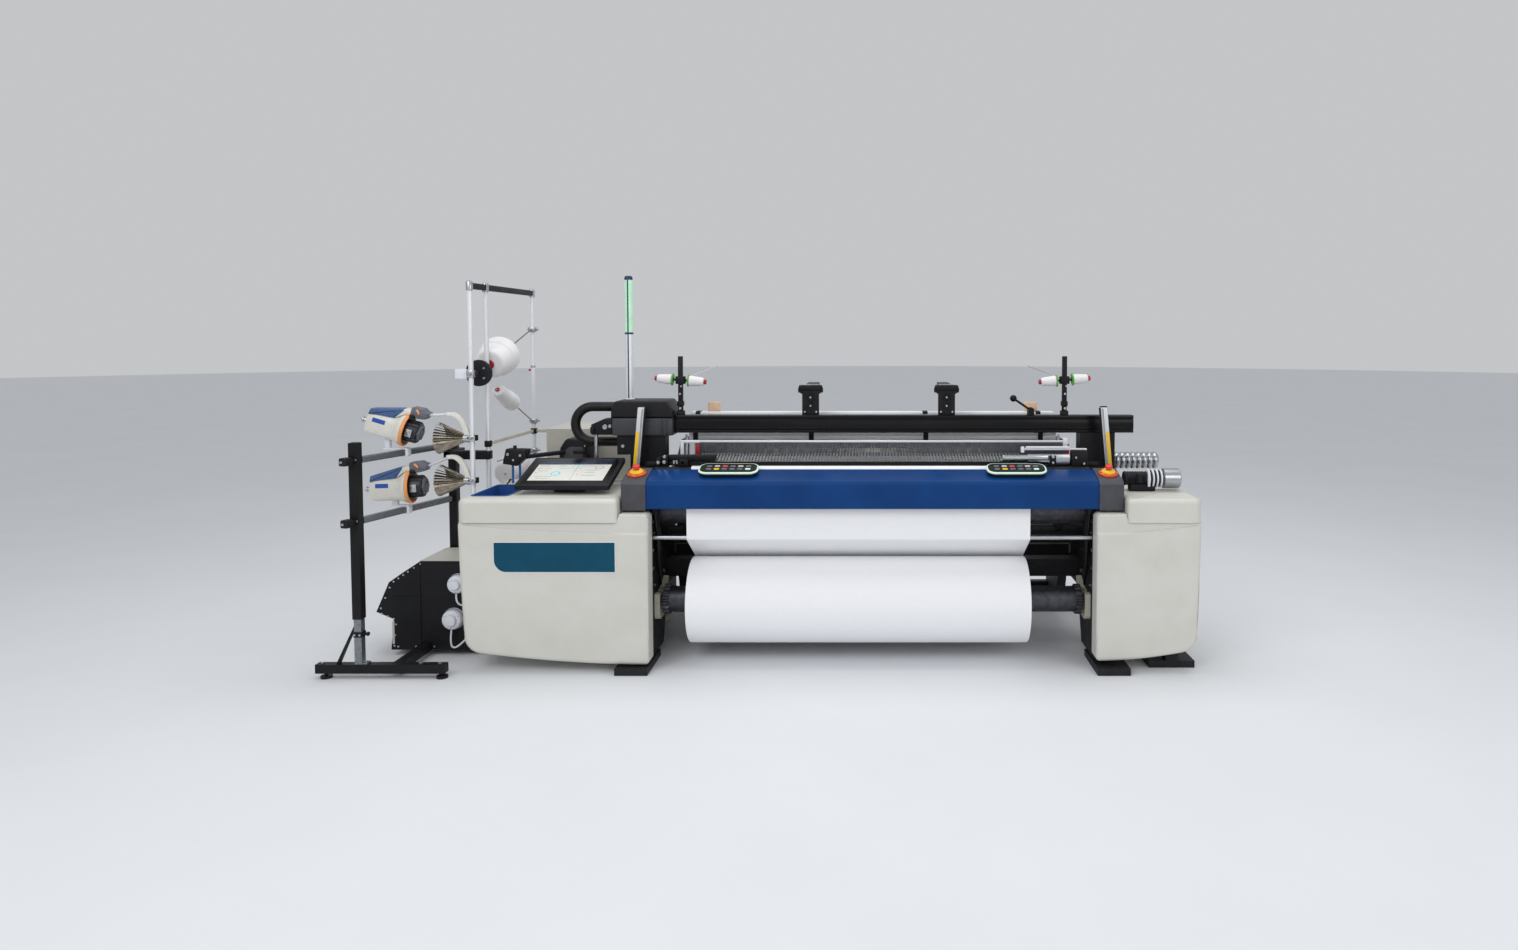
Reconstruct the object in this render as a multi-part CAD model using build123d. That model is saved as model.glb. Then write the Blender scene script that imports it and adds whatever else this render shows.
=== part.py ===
from build123d import *
import math
import os

# Air-jet power loom with its feeder stand. Millimetres. The weaver stands at the front, at low y.
# Before writing, x is zero at the loom's centre, y is zero at the breast beam's front face
# and z at the floor.

# Values that drive the loom
cloth_width = 1660.0
cloth_shift = 68.0
side_room = 177.0
frame_gap = cloth_width + 2 * (cloth_shift + side_room)
frame_wall = 50.0
frame_front = 40.0
frame_depth = 1290.0
frame_height = 960.0
shaft_fit = 0.05
running_gap = 0.5
overrun = 20.0
sheet_wall = 4.0
wall_half = frame_gap / 2
wall_outer = wall_half + frame_wall
cloth_centre_x = -cloth_shift
cloth_left = cloth_centre_x - cloth_width / 2
cloth_right = cloth_centre_x + cloth_width / 2

# Side walls: outline as shares of depth and height above the pads, with the corner radius.
# The deck is the level top of the walls; what stands on them takes its height from it.
pad_height = 34.0
side_corner = 60.0
side_top_share = 0.875
side_shares = [(0.0, 0.0), (0.22, 0.0), (0.30, 0.28), (0.68, 0.28), (0.76, 0.0), (1.0, 0.0), (1.0, 0.50),
               (0.94, 1.0), (0.80, 1.0), (0.66, side_top_share), (0.04, side_top_share), (0.0, 0.80)]
deck_z = pad_height + frame_height * side_top_share
window_corner = 40.0
window_shares = [(0.44, 0.40), (0.68, 0.40), (0.68, 0.76), (0.44, 0.76)]

# Front covers and lids
cover_proud = 65.0
cover_front = -cover_proud
cover_wall = 5.0
cover_round = 16.0
lid_drop = 38.0
lid_height = 114.0
lid_top = deck_z - lid_drop
cover_seam = lid_top - lid_height
cover_step_height = 39.0
cover_step = cover_seam + cover_step_height
cover_lap = 13.0
cover_inner = wall_half - cover_lap
lid_inset = 81.0
lid_inner = wall_outer + lid_inset
lid_round = 30.0
left_lid_width = 756.0
left_outer = lid_inner + left_lid_width
left_lean = 26.0
left_foot_outer = left_outer - left_lean
left_foot_z = 104.0
left_mid_run = 438.0
left_mid_x = cover_inner + left_mid_run
left_mid_z = 58.0
left_inner_z = 40.0
left_depth = 860.0
left_lid_depth = 665.0
right_lid_width = 351.0
right_outer = lid_inner + right_lid_width
right_lean = 17.0
right_foot_outer = right_outer - right_lean
right_foot_z = 112.0
right_inner_z = 58.0
right_depth = 620.0
right_lid_depth = 320.0
foot_corner = 70.0
small_corner = 22.0
crease_drop = 52.0
crease_sag = 37.0
crease_end = 4.0
crease_depth = 2.0
plate_inset, plate_width = 174.0, 576.0
plate_left = left_outer - plate_inset
plate_right = plate_left - plate_width
plate_drop, plate_height = 88.0, 146.0
plate_high = cover_seam - plate_drop
plate_low = plate_high - plate_height
plate_corner = 60.0
plate_proud = 2.0

# Floor pads
pad_forward = 86.0
pad_front = -pad_forward
pad_length = 290.0
pad_lap = 11.0
pad_inner = wall_half - pad_lap
pad_width = 156.0
rear_pad_front = 1040.0
outer_pad_run = 276.0
outer_pad_inner = cover_inner + outer_pad_run
outer_pad_width = 220.0
outer_pad_front = 26.0
outer_pad_length = 180.0
outer_leg_width = 60.0

# Rollers and bars of the cloth path: place in y, height against the deck, and radius
cloth_rise = 88.0
cloth_level = deck_z + cloth_rise
nose_y, nose_rise, nose_radius = 196.0, 62.0, 18.0
nose_z = deck_z + nose_rise
take_up_y, take_up_drop, take_up_radius = 222.0, 132.0, 78.0
take_up_z = deck_z - take_up_drop
turn_y, turn_drop, turn_radius = 64.0, 68.0, 14.0
turn_z = deck_z - turn_drop
guide_y, guide_drop, guide_radius = 62.0, 246.0, 12.0
guide_z = deck_z - guide_drop
roll_y, roll_z, roll_radius = 190.0, 292.0, 210.0
fell_y = 262.0
cloth_thick = 1.4
web_gap = 0.6
take_up_stub = 24.0
core_radius = 63.0
core_room = 39.0
core_half = wall_half - core_room
core_stub = 20.0
core_ring_radius = 66.0
core_ring_width = 6.0
core_head_radius = 74.0
core_head_width = 30.0
core_teeth = 16
core_tooth_share = 0.10

# Cloth beam hooks
hook_width = 26.0
hook_reach = 62.0
hook_rise = 40.0
hook_drop = 90.0
hook_depth = 150.0

# Breast beam cover and its end caps: profile in y and z
beam_lap = 8.0
beam_half = wall_half + beam_lap
beam_drop, beam_rise = 96.0, 20.0
beam_bottom = deck_z - beam_drop
beam_shoulder = deck_z + beam_rise
beam_edge_y, beam_edge_rise = 14.0, 17.0
beam_edge_z = beam_shoulder + beam_edge_rise
beam_back_y, beam_back_rise = 150.0, 38.0
beam_back_z = beam_edge_z + beam_back_rise
beam_end_width = 118.0
beam_end_proud = 5.0
beam_end_drop = 6.0
beam_end_round = 10.0
breast_tube_front = 92.0
breast_tube_side = 50.0
breast_tube_drop = 44.0
breast_tube_back = breast_tube_front + breast_tube_side
breast_tube_low = deck_z - breast_tube_drop
breast_tube_high = breast_tube_low + breast_tube_side

# Emergency stops on the end caps
stop_inset = 60.0
stop_along_share = 0.50
ring_radius, ring_height = 46.0, 12.0
collar_foot, collar_top, collar_height = 33.0, 23.0, 14.0
button_radius, button_height = 18.0, 15.0
button_stem, button_stem_length = 11.0, 20.0
button_travel = 5.0
button_round = 5.0

# Key panels
panel_inset = 383.0
panel_x = beam_half - panel_inset
panel_length, panel_depth, panel_height = 292.0, 118.0, 18.0
panel_corner = 44.0
rim_width, rim_height = 7.0, 9.0
panel_along_share = 0.66

# Storage tray
tray_inset, tray_width = 36.0, 174.0
tray_left = left_outer - tray_inset
tray_right = tray_left - tray_width
tray_front, tray_back = 24.0, 360.0
tray_depth = 82.0
tray_wall = 3.0
tray_lip = 6.0
tray_corner = 18.0

# Touch screen
screen_run = 296.0
screen_x = -lid_inner - screen_run
screen_width, screen_length, screen_thick = 462.0, 330.0, 26.0
screen_corner = 14.0
screen_tilt = 17.0
screen_mid_y, screen_rise = 214.0, 82.0
screen_mid_z = lid_top + screen_rise
glass_margin_x, glass_margin_y = 42.0, 46.0
glass_thick = 2.0
hinge_radius = 9.0
hinge_width = 120.0
hinge_drop = 26.0
foot_width, foot_depth = 150.0, 110.0
foot_plate = 12.0
foot_ear = 14.0

# Top beam, its posts, the guides and the harness cover
top_y, top_depth = 440.0, 70.0
top_rise, top_height = 226.0, 80.0
top_z = deck_z + top_rise
top_left_reach, top_right_reach = 75.0, 237.0
top_left = -wall_outer - top_left_reach
top_right = wall_outer + top_right_reach
top_lip = 10.0
post_lap, post_reach = 5.0, 137.0
post_inner = wall_half + post_lap
post_outer = wall_outer + post_reach
post_front, post_back = 428.0, 522.0
guide_left_run, guide_right_run = 326.0, 390.0
guide_left_x = -guide_left_run
guide_right_x = guide_right_run
comb_width, comb_height, comb_plate = 88.0, 165.0, 26.0
comb_head_width, comb_head_height, comb_head_round = 116.0, 46.0, 14.0
comb_arm_height, comb_arm_length, comb_arm_width = 34.0, 300.0, 60.0
comb_slot_depth = 20.0
hood_reach, hood_width = 235.0, 330.0
hood_left = -wall_outer - hood_reach
hood_right = hood_left + hood_width
hood_front, hood_back = 410.0, 640.0
hood_drop, hood_height = 14.0, 180.0
hood_low = top_z - hood_drop
hood_high = hood_low + hood_height
hood_shoulder = 46.0
hood_corner = 30.0
socket_reach, socket_width, socket_height, socket_gap = -30.0, 68.0, 99.0, 2.0
socket_left = hood_left - socket_reach
socket_right = socket_left + socket_width
socket_high = hood_low - socket_gap
socket_low = socket_high - socket_height

# Hose loop
hose_y = 540.0
hose_radius = 26.0
hose_top_drop, hose_low_drop, hose_reach = 38.0, 42.0, 127.0
hose_top_z = hood_high - hose_top_drop
hose_low_z = socket_high - hose_low_drop
hose_bend_x = hood_left - hose_reach

# Signal lamp
lamp_inset, lamp_y, lamp_radius = 65.0, 560.0, 21.0
lamp_x = hood_left + lamp_inset
lamp_mast, lens_height, lamp_cap = 351.0, 285.0, 20.0
lens_low = hood_high + lamp_mast
lens_high = lens_low + lens_height
lamp_top = lens_high + lamp_cap

# Light posts
curtain_y, curtain_width, curtain_depth = 356.0, 34.0, 22.0
curtain_reach, curtain_lean = 91.0, 32.0
curtain_foot_x = wall_outer + curtain_reach
curtain_head_x = curtain_foot_x - curtain_lean
curtain_foot_height, curtain_height = 26.0, 368.0
curtain_top = deck_z + curtain_height

# Selvedge bobbin posts and weft cones
peg_post_inset, peg_post_side, peg_post_height = 69.0, 24.0, 317.0
peg_post_x = wall_half - peg_post_inset
peg_post_top = top_z + top_height + peg_post_height
peg_height, peg_radius, peg_reach = 192.0, 5.0, 156.0
peg_z = top_z + top_height + peg_height
peg_rise = 12.0
bobbin_foot, bobbin_nose, bobbin_length, bobbin_bore_gap = 27.0, 20.0, 98.0, 0.4
flange_radius, flange_width = 33.0, 6.0
peg_stop = 44.0
package_round_share = 0.14

# Clamp lever on the top beam
lever_inset, lever_y, lever_height = 245.0, 475.0, 34.0
lever_x = wall_half - lever_inset
lever_z = top_z + top_height + lever_height
lever_throw, lever_rise = 91.0, 62.0
lever_reach = -lever_throw
lever_rod, knob_radius = 6.0, 18.0
lever_hub, lever_hub_width = 16.0, 24.0
lever_ear = 8.0
lever_pin = 5.0

# Temples
temple_length, temple_front, temple_back = 236.0, 200.0, 246.0
temple_lift, temple_height = 18.0, 30.0
temple_low = cloth_level + temple_lift
temple_high = temple_low + temple_height
temple_roll_radius = 12.0
temple_arm = 34.0

# Sley and reed, swinging on the rocker shaft
rocker_y, rocker_drop, rocker_radius, rocker_stub = 470.0, 314.0, 46.0, 26.0
rocker_z = deck_z - rocker_drop
reed_left_room, reed_right_reach = 14.0, 230.0
reed_left = cloth_left + reed_left_room
reed_right = cloth_right + reed_right_reach
reed_y, reed_thick = 352.0, 10.0
reed_rise, reed_height = 94.0, 100.0
reed_low = deck_z + reed_rise
reed_high = reed_low + reed_height
reed_rib, reed_rail = 5.0, 8.0
reed_count = 58
sley_depth, sley_height = 58.0, 70.0
sley_nose = 8.0
sword_width, sword_thick = 34.0, 46.0
sword_count = 6
sley_room = 65.0
sley_half = wall_half - sley_room

# Heald frames
heald_room, heald_height = 95.0, 470.0
heald_half = wall_half - heald_room
heald_thick, heald_pitch = 22.0, 38.0
heald_first_y = 556.0
heald_rail, heald_stile = 43.0, 30.0
heald_rise, heald_lift = 218.0, 100.0
heald_low_top = deck_z + heald_rise
heald_slots = 28
heald_bar = 6.0
heald_count = 4
block_width, block_height, block_inset = 68.0, 50.0, 116.0
block_x = heald_half - block_inset
channel_bite, channel_drop, channel_height = 18.0, 174.0, 180.0
channel_inner = heald_half - channel_bite
channel_low = deck_z - channel_drop
channel_high = channel_low + channel_height
channel_gap = 0.15
channel_margin = 14.0

# Warp side: the flanges reach a set share of the beam's height above the floor
warp_height_share = 452 / 874
warp_flange_share = 370 / 452
warp_y = 1120.0
warp_z = deck_z * warp_height_share
flange_disc = warp_z * warp_flange_share
flange_lip = 58.0
warp_radius = flange_disc - flange_lip
barrel_radius, flange_thick = 100.0, 18.0
flange_gap = 12.0
flange_half_gap = cloth_width / 2 + flange_gap
warp_stub = 40.0
back_y, back_rise, back_radius, back_stub = 1176.0, 30.0, 72.0, 24.0
back_z = deck_z + back_rise
warp_end_y = 712.0
warp_thick = 1.6
rail_count, rail_first_y, rail_pitch = 6, 790.0, 34.0
rail_width, rail_height, rail_lift = 8.0, 24.0, 14.0
rail_plate = 115.0
rail_half = wall_half - rail_plate
rail_end = 60.0
gear_radius, gear_width, gear_teeth = 170.0, 28.0, 30
gear_tooth_share = 0.08

# Cross members between the side walls
cross_front_y, cross_front_drop, cross_side = 455.0, 479.0, 90.0
cross_front_z = deck_z - cross_front_drop
cross_rear_y, cross_rear_z, cross_rear_side = 1290.0, 74.0, 50.0
cross_mid_room, cross_mid_drop = 50.0, 454.0
cross_mid_y = warp_y - flange_disc - cross_mid_room
cross_mid_z = deck_z - cross_mid_drop

# Drive units: main motor and the let-off gearbox
motor_radius, motor_length = 130.0, 330.0
motor_y, motor_z = 480.0, 360.0
let_off_width, let_off_depth, let_off_height = 120.0, 170.0, 240.0
let_off_drop = 150.0
take_up_box = 110.0
take_up_box_shares = (1.4, 0.4)

# Control cabinet
cabinet_room, cabinet_width = 135.0, 580.0
cabinet_right = -wall_outer - cabinet_room
cabinet_left = cabinet_right - cabinet_width
cabinet_room_front, cabinet_depth = 35.0, 440.0
cabinet_front = cover_front + left_depth + cabinet_room_front
cabinet_back = cabinet_front + cabinet_depth
cabinet_low, cabinet_high = 60.0, 1080.0
cabinet_round = 14.0
door_proud, door_margin = 6.0, 30.0

# Creel
pole_radius, pole_top = 9.0, 1868.0
pole_room = 28.0
pole_x = -left_outer - pole_room
pole_front_y, pole_mid_y, pole_rear_y = 205.0, 400.0, 1066.0
pole_low, pole_rear_low = 818.0, 900.0
creel_bar_width, creel_bar_height = 18.0, 26.0
tie_z, tie_height, tie_thick = 1046.0, 18.0, 6.0
clamp_size = 40.0
upper_clamp_z, lower_clamp_z, third_clamp_z = 1640.0, 1104.0, 930.0
eye_y, eye_z, eye_radius, eye_thick = 300.0, 1416.0, 67.0, 24.0
eye_bar = 14.0
spike_radius = 6.0
big_foot, big_nose, big_length, big_at = 103.0, 76.0, 172.0, 470.0
small_foot, small_nose, small_length, small_at = 50.0, 34.0, 112.0, 400.0
third_foot, third_nose, third_length, third_at = 84.0, 64.0, 160.0, 270.0
spike_head, spike_head_width = 20.0, 14.0
third_aim_z = 800.0

# Balloon breakers
hub_room, breaker_length = 22.0, 142.0
hub_x = pole_x - hub_room
mouth_x = hub_x - breaker_length
upper_breaker_z, lower_breaker_z = 1096.0, 884.0
slat_count = 20
slat_mouth, slat_hub = 76.0, 14.0
slat_wide, slat_narrow, slat_thick = 10.5, 2.0, 1.6
hub_radius, hub_length = 16.0, 46.0
arm_bar, arm_width, arm_rise, arm_reach = 14.0, 24.0, 118.0, 92.0
arm_bend = 30.0
arm_knee_shares = (0.12, 0.62)
link_radius = 7.0

# Feeder stand
tube = 42.0
stand_forward = 108.0
base_y = -stand_forward
column_run, column_y = 246.0, 548.0
column_x = pole_x - column_run
column_top = 1075.0
post_run = 168.0
front_post_x = column_x - post_run
base_left_reach, base_right_gap = 202.0, 10.0
base_left = front_post_x - base_left_reach
base_right = pole_x - base_right_gap
base_low, base_high = 26.0, 68.0
glide_radius, glide_stem = 26.0, 7.0
glide_disc = 12.0
mast_side = 34.0
mast_top = 420.0
mast_foot, mast_foot_height = 84.0, 8.0
sleeve_low, sleeve_top = 282.0, 1108.0
sleeve_gap = 0.5
brace_run, brace_rise, brace_side = 92.0, 190.0, 16.0
rail_side = 28.0
upper_rail_z, lower_rail_z = 1026.0, 740.0
rail_overhang = 56.0
knob_end = 17.0
head_block_low, head_block_high = 966.0, 1010.0
head_block_depth = 50.0

# Weft feeders: placed by the mouth of the housing, with pitch and turn in degrees
feeder_y = 205.0
upper_feeder_run, upper_feeder_z, upper_pitch = 168.0, 1140.0, 16.0
lower_feeder_run, lower_feeder_z, lower_pitch = 152.0, 854.0, -2.0
upper_feeder_x = mouth_x - upper_feeder_run
lower_feeder_x = mouth_x - lower_feeder_run
feeder_turn = 5.0
shell_length, shell_width, shell_round = 168.0, 112.0, 24.0
shell_tail_share = 0.62
shell_drop, shell_high = 64.0, 46.0
shell_low = -shell_drop
bell_length, bell_flat = 40.0, 0.5
lid_rise, lid_length = 30.0, 150.0
mouth_radius, mouth_width = 82.0, 14.0
halo_inner, halo_width = 76.0, 16.0
winder_radius, winder_width = 72.0, 9.0
spindle_radius = 12.0
drum_radius, drum_length = 55.0, 62.0
head_length, head_width = 74.0, 52.0
head_dip, head_rise = 22.0, 12.0
head_low = mouth_radius - head_dip
head_high = mouth_radius + head_rise
neck_width = 26.0
tail_knob, tail_length = 12.0, 22.0
bracket_width, bracket_length, bracket_arm = 34.0, 60.0, 10.0

# Nozzle block and its carrier
carrier_run, carrier_width = 342.0, 142.0
carrier_right = -lid_inner - carrier_run
carrier_left = carrier_right - carrier_width
carrier_front, carrier_back = 618.0, 770.0
carrier_rise = 186.0
carrier_high = lid_top + carrier_rise
nozzle_run, nozzle_width = 107.0, 123.0
nozzle_right = carrier_left - nozzle_run
nozzle_left = nozzle_right - nozzle_width
nozzle_front, nozzle_back = 400.0, 462.0
nozzle_rise, nozzle_height = 92.0, 90.0
nozzle_low = lid_top + nozzle_rise
nozzle_high = nozzle_low + nozzle_height
nozzle_arm = 12.0
air_tube_radius = 6.0
air_tube_shares = [0.35, 0.65]

# Waste duct and selvedge motor at the right
duct_y, duct_rise, duct_radius, duct_root = 582.0, 62.0, 46.0, 38.0
duct_z = deck_z + duct_rise
duct_gap, duct_pitch, duct_rings = 55.0, 44.0, 8
duct_left = wall_outer + duct_gap
duct_bracket = 40.0
winch_y, winch_rise, winch_radius = 190.0, 62.0, 46.0
winch_z = lid_top + winch_rise
winch_inset, winch_length = 40.0, 274.0
winch_left = lid_inner + winch_inset
winch_right = winch_left + winch_length
winch_end, winch_neck = 84.0, 30.0
winch_foot = 60.0

# Black guard at the stand and the two round pressure units
guard_front, guard_back = 200.0, 500.0
guard_width, guard_height = 496.0, 448.0
guard_right, guard_low = pole_x, 30.0
guard_left = guard_right - guard_width
guard_top = guard_low + guard_height
guard_shares = [(0.143, 0.0), (0.173, 0.348), (0.0, 0.429), (0.133, 0.763), (0.274, 0.871), (0.452, 1.0)]
unit_upper_run, unit_upper_z, unit_upper_radius = 80.0, 368.0, 50.0
unit_lower_run, unit_lower_z, unit_lower_radius = 106.0, 190.0, 54.0
unit_upper_x = guard_right - unit_upper_run
unit_lower_x = guard_right - unit_lower_run
unit_depth, unit_hub_share, unit_hub_depth = 42.0, 0.6, 16.0


def block(x0, x1, y0, y1, z0, z1):
    """A block between two corners."""
    return Pos((x0 + x1) / 2, (y0 + y1) / 2, (z0 + z1) / 2) * Box(x1 - x0, y1 - y0, z1 - z0)


def rod(start, end, radius):
    """A round bar between two points."""
    run = Vector(*end) - Vector(*start)
    lift = (Align.CENTER, Align.CENTER, Align.MIN)
    return Plane(origin=start, z_dir=run) * Cylinder(radius, run.length, align=lift)


def taper(start, end, foot, nose):
    """A cone frustum between two points."""
    run = Vector(*end) - Vector(*start)
    lift = (Align.CENTER, Align.CENTER, Align.MIN)
    return Plane(origin=start, z_dir=run) * Cone(foot, nose, run.length, align=lift)


def rounded(corners):
    """A face whose corners (u, v, radius) are rounded."""
    runs = []
    last = corners[-1:] + corners[:-1]
    after = corners[1:] + corners[:1]
    stops = []
    for (pu, pv, _), (u, v, radius), (nu, nv, _) in zip(last, corners, after):
        back = Vector(pu - u, pv - v).normalized()
        ahead = Vector(nu - u, nv - v).normalized()
        here = Vector(u, v)
        if radius == 0:
            stops.append((here, None, here))
            continue
        half = math.acos(max(-1, min(1, back.dot(ahead)))) / 2
        cut = radius / math.tan(half)
        middle = (back + ahead).normalized()
        deep = radius / math.sin(half) - radius
        stops.append((here + back * cut, here + middle * deep, here + ahead * cut))
    for (first, mid, second), (following, _, _) in zip(stops, stops[1:] + stops[:1]):
        if mid is not None:
            runs.append(ThreePointArc(first, mid, second))
        runs.append(Line(second, following))
    return make_face(Curve() + runs)


def across(face, x0, x1):
    """A face drawn in y and z, drawn out along x."""
    return extrude(Plane.YZ.offset(x0) * face, x1 - x0, dir=(1, 0, 0))


def deep(face, y0, y1):
    """A face drawn in x and z, drawn out along y."""
    return extrude(Plane.XZ.offset(-y0) * face, y1 - y0, dir=(0, 1, 0))


def upright(face, z0, z1):
    """A face drawn in x and y, drawn out along z."""
    return extrude(Plane.XY.offset(z0) * face, z1 - z0, dir=(0, 0, 1))


def sharp(points):
    """A face with sharp corners."""
    return rounded([(u, v, 0) for u, v in points])


def mirrored(shape):
    """The same piece on the other side of the loom."""
    return mirror(shape, about=Plane.YZ)


def joined(shapes):
    """Several separate solids kept in one node."""
    return Compound([solid for shape in shapes for solid in shape.solids()])


def belt(stops, shift):
    """Edges of a sheet drawn over round bars. Each stop is (y, z, signed radius); shift moves the line left."""
    normals = []
    for (y0, z0, r0), (y1, z1, r1) in zip(stops, stops[1:]):
        reach = math.hypot(y1 - y0, z1 - z0)
        normals.append(math.atan2(z1 - z0, y1 - y0) + math.acos((r0 - r1) / reach))
    runs = []
    here = None
    for index, (y, z, r) in enumerate(stops):
        size = r + shift
        turn_in = normals[max(index - 1, 0)]
        turn_out = normals[min(index, len(normals) - 1)]
        first = (y + size * math.cos(turn_in), z + size * math.sin(turn_in))
        second = (y + size * math.cos(turn_out), z + size * math.sin(turn_out))
        if here is not None:
            runs.append(Line(here, first))
        if 0 < index < len(stops) - 1:
            swing = turn_out - turn_in
            full = 2 * math.pi
            swing = swing % full - full if r > 0 else swing % full
            middle = turn_in + swing / 2
            runs.append(ThreePointArc(first, (y + size * math.cos(middle), z + size * math.sin(middle)), second))
        here = second
    return runs


def sheet(stops, thick, x0, x1):
    """A sheet of the given thickness drawn over round bars, from x0 to x1."""
    near = belt(stops, thick / 2)
    far = belt(stops, -thick / 2)
    ends = [Line(near[0] @ 0, far[0] @ 0), Line(near[-1] @ 1, far[-1] @ 1)]
    return across(make_face(Curve() + near + far + ends), x0, x1)


def toothed(radius, teeth, share):
    """A face with shallow square teeth round its edge."""
    points = []
    step = 2 * math.pi / teeth
    for tooth in range(teeth):
        for part, size in enumerate((radius, radius, radius * (1 - share), radius * (1 - share))):
            angle = (tooth + part / 4) * step
            points.append((size * math.cos(angle), size * math.sin(angle)))
    return sharp(points)


def beam_slope():
    """Angle of the breast beam's top, in degrees."""
    return math.degrees(math.atan2(beam_back_z - beam_edge_z, beam_back_y - beam_edge_y))


def on_beam(x, along_share, proud):
    """A frame on the breast beam's sloping top, proud of its sheet."""
    y = beam_edge_y + (beam_back_y - beam_edge_y) * along_share
    z = beam_edge_z + (beam_back_z - beam_edge_z) * along_share
    tilt = math.radians(beam_slope())
    return Pos(x, y - proud * math.sin(tilt), z + proud * math.cos(tilt)) * Rot(beam_slope(), 0, 0)


def side_wall(bores):
    """One cast side wall at high x, with its window and bearing bores."""
    def point(pair):
        return frame_front + frame_depth * pair[0], pad_height + frame_height * pair[1]
    outline = [(*point(pair), side_corner if 0 < pair[1] < 1 else 0) for pair in side_shares]
    wall = across(rounded(outline), wall_half, wall_outer)
    window = rounded([(*point(pair), window_corner) for pair in window_shares])
    wall -= across(window, wall_half - overrun, wall_outer + overrun)
    for y, z, radius in bores:
        wall -= rod((wall_half - overrun, y, z), (wall_outer + overrun, y, z), radius + shaft_fit)
    return wall


def side_frames():
    bores = [(take_up_y, take_up_z, take_up_stub), (rocker_y, rocker_z, rocker_stub),
             (back_y, back_z, back_stub), (warp_y, warp_z, warp_stub)]
    wall = side_wall(bores)
    return joined([wall, mirrored(wall)])


def base_members():
    """Cross tubes, cloth bars and floor pads."""
    pieces = []
    tubes = ((cross_front_y, cross_front_z, cross_side), (cross_mid_y, cross_mid_z, cross_side),
             (cross_rear_y, cross_rear_z, cross_rear_side))
    for y, z, side in tubes:
        half = side / 2
        pieces.append(block(-wall_half, wall_half, y - half, y + half, z - half, z + half))
    pieces.append(block(-wall_half, wall_half, breast_tube_front, breast_tube_back,
                        breast_tube_low, breast_tube_high))
    for y, z, radius in ((nose_y, nose_z, nose_radius), (turn_y, turn_z, turn_radius)):
        pieces.append(rod((-wall_half, y, z), (wall_half, y, z), radius))
    for front, length in ((pad_front, pad_length), (rear_pad_front, pad_length)):
        pad = block(pad_inner, pad_inner + pad_width, front, front + length, 0, pad_height)
        pieces += [pad, mirrored(pad)]
    outer = block(outer_pad_inner, outer_pad_inner + outer_pad_width, outer_pad_front,
                  outer_pad_front + outer_pad_length, 0, pad_height)
    leg_x = outer_pad_inner + outer_pad_width / 2 - outer_leg_width / 2
    leg_end = leg_x + outer_leg_width
    leg = deep(sharp([(leg_x, pad_height), (leg_end, pad_height), (leg_end, right_bottom(leg_end)),
                      (leg_x, right_bottom(leg_x))]), outer_pad_front, outer_pad_front + outer_leg_width)
    pieces += [outer, leg]
    return joined(pieces)


def right_bottom(x):
    """Height of the right cover's sloping bottom edge at x."""
    share = (x - cover_inner) / (right_foot_outer - cover_inner)
    return right_inner_z + (right_foot_z - right_inner_z) * share


def cover_outline(outer, foot_outer, foot_z, inner_z, mid):
    """Outline of a front cover seen from the front, at high x."""
    corners = [(cover_inner, inner_z, small_corner), (cover_inner, cover_step, small_corner),
               (lid_inner, cover_step, 0), (lid_inner, cover_seam, 0), (outer, cover_seam, 0),
               (foot_outer, foot_z, foot_corner)]
    return corners + ([(*mid, 0)] if mid else [])


def crease_band(outer):
    """The shallow band of a cover above its crease, which climbs from the inner edge to the seam."""
    low, end = cover_seam - crease_drop, cover_seam - crease_end
    inner, past = cover_inner - overrun, outer + overrun
    top = cover_step + overrun
    crease = ThreePointArc((inner, low), ((inner + past) / 2, cover_seam - crease_sag), (past, end))
    return make_face(Curve() + [crease, Polyline((past, end), (past, top), (inner, top), (inner, low))])


def hollow_cover(corners, depth):
    """A moulded front cover: outline drawn back, hollow behind, with a flange against the side wall."""
    face = rounded(corners)
    shell = deep(face, cover_front, cover_front + depth)
    rim = shell.faces().sort_by(Axis.Y)[0].edges()
    shell = fillet([edge for edge in rim if (edge @ 0.5).Z < cover_seam - overrun or
                    (edge @ 0.5).X < lid_inner - overrun], cover_round)
    shell -= deep(crease_band(max(x for x, _, _ in corners)), cover_front - overrun, cover_front + crease_depth)
    hollow = offset(face, -cover_wall, kind=Kind.INTERSECTION)
    shell -= deep(hollow, cover_front + cover_wall, cover_front + depth + overrun)
    past = frame_front + frame_depth
    shell -= block(cover_inner - overrun, wall_outer, frame_front, past, 0, cover_step + overrun)
    flange = block(cover_inner + cover_wall, wall_outer, frame_front - cover_wall, frame_front,
                   pad_height + overrun, cover_seam - side_corner)
    return shell + flange


def left_cover():
    corners = cover_outline(left_outer, left_foot_outer, left_foot_z, left_inner_z, (left_mid_x, left_mid_z))
    shell = hollow_cover(corners, left_depth)
    plate = rounded([(plate_left, plate_low, plate_corner), (plate_right, plate_low, 0),
                     (plate_right, plate_high, 0), (plate_left, plate_high, 0)])
    shell += deep(plate, cover_front - plate_proud, cover_front)
    return mirrored(shell)


def right_cover():
    corners = cover_outline(right_outer, right_foot_outer, right_foot_z, right_inner_z, None)
    return hollow_cover(corners, right_depth)


def hollow_lid(outer, depth):
    """A moulded lid at high x, open below."""
    back = cover_front + depth
    lid = block(lid_inner, outer, cover_front, back, cover_seam, lid_top)
    top = lid.faces().sort_by(Axis.Z)[-1].edges()
    high = [edge for edge in top if (edge @ 0.5).Y < back - overrun]
    lid = fillet(high, lid_round)
    lid -= block(lid_inner + cover_wall, outer - cover_wall, cover_front + cover_wall, back - cover_wall,
                 cover_seam - overrun, lid_top - cover_wall)
    return lid


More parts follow.
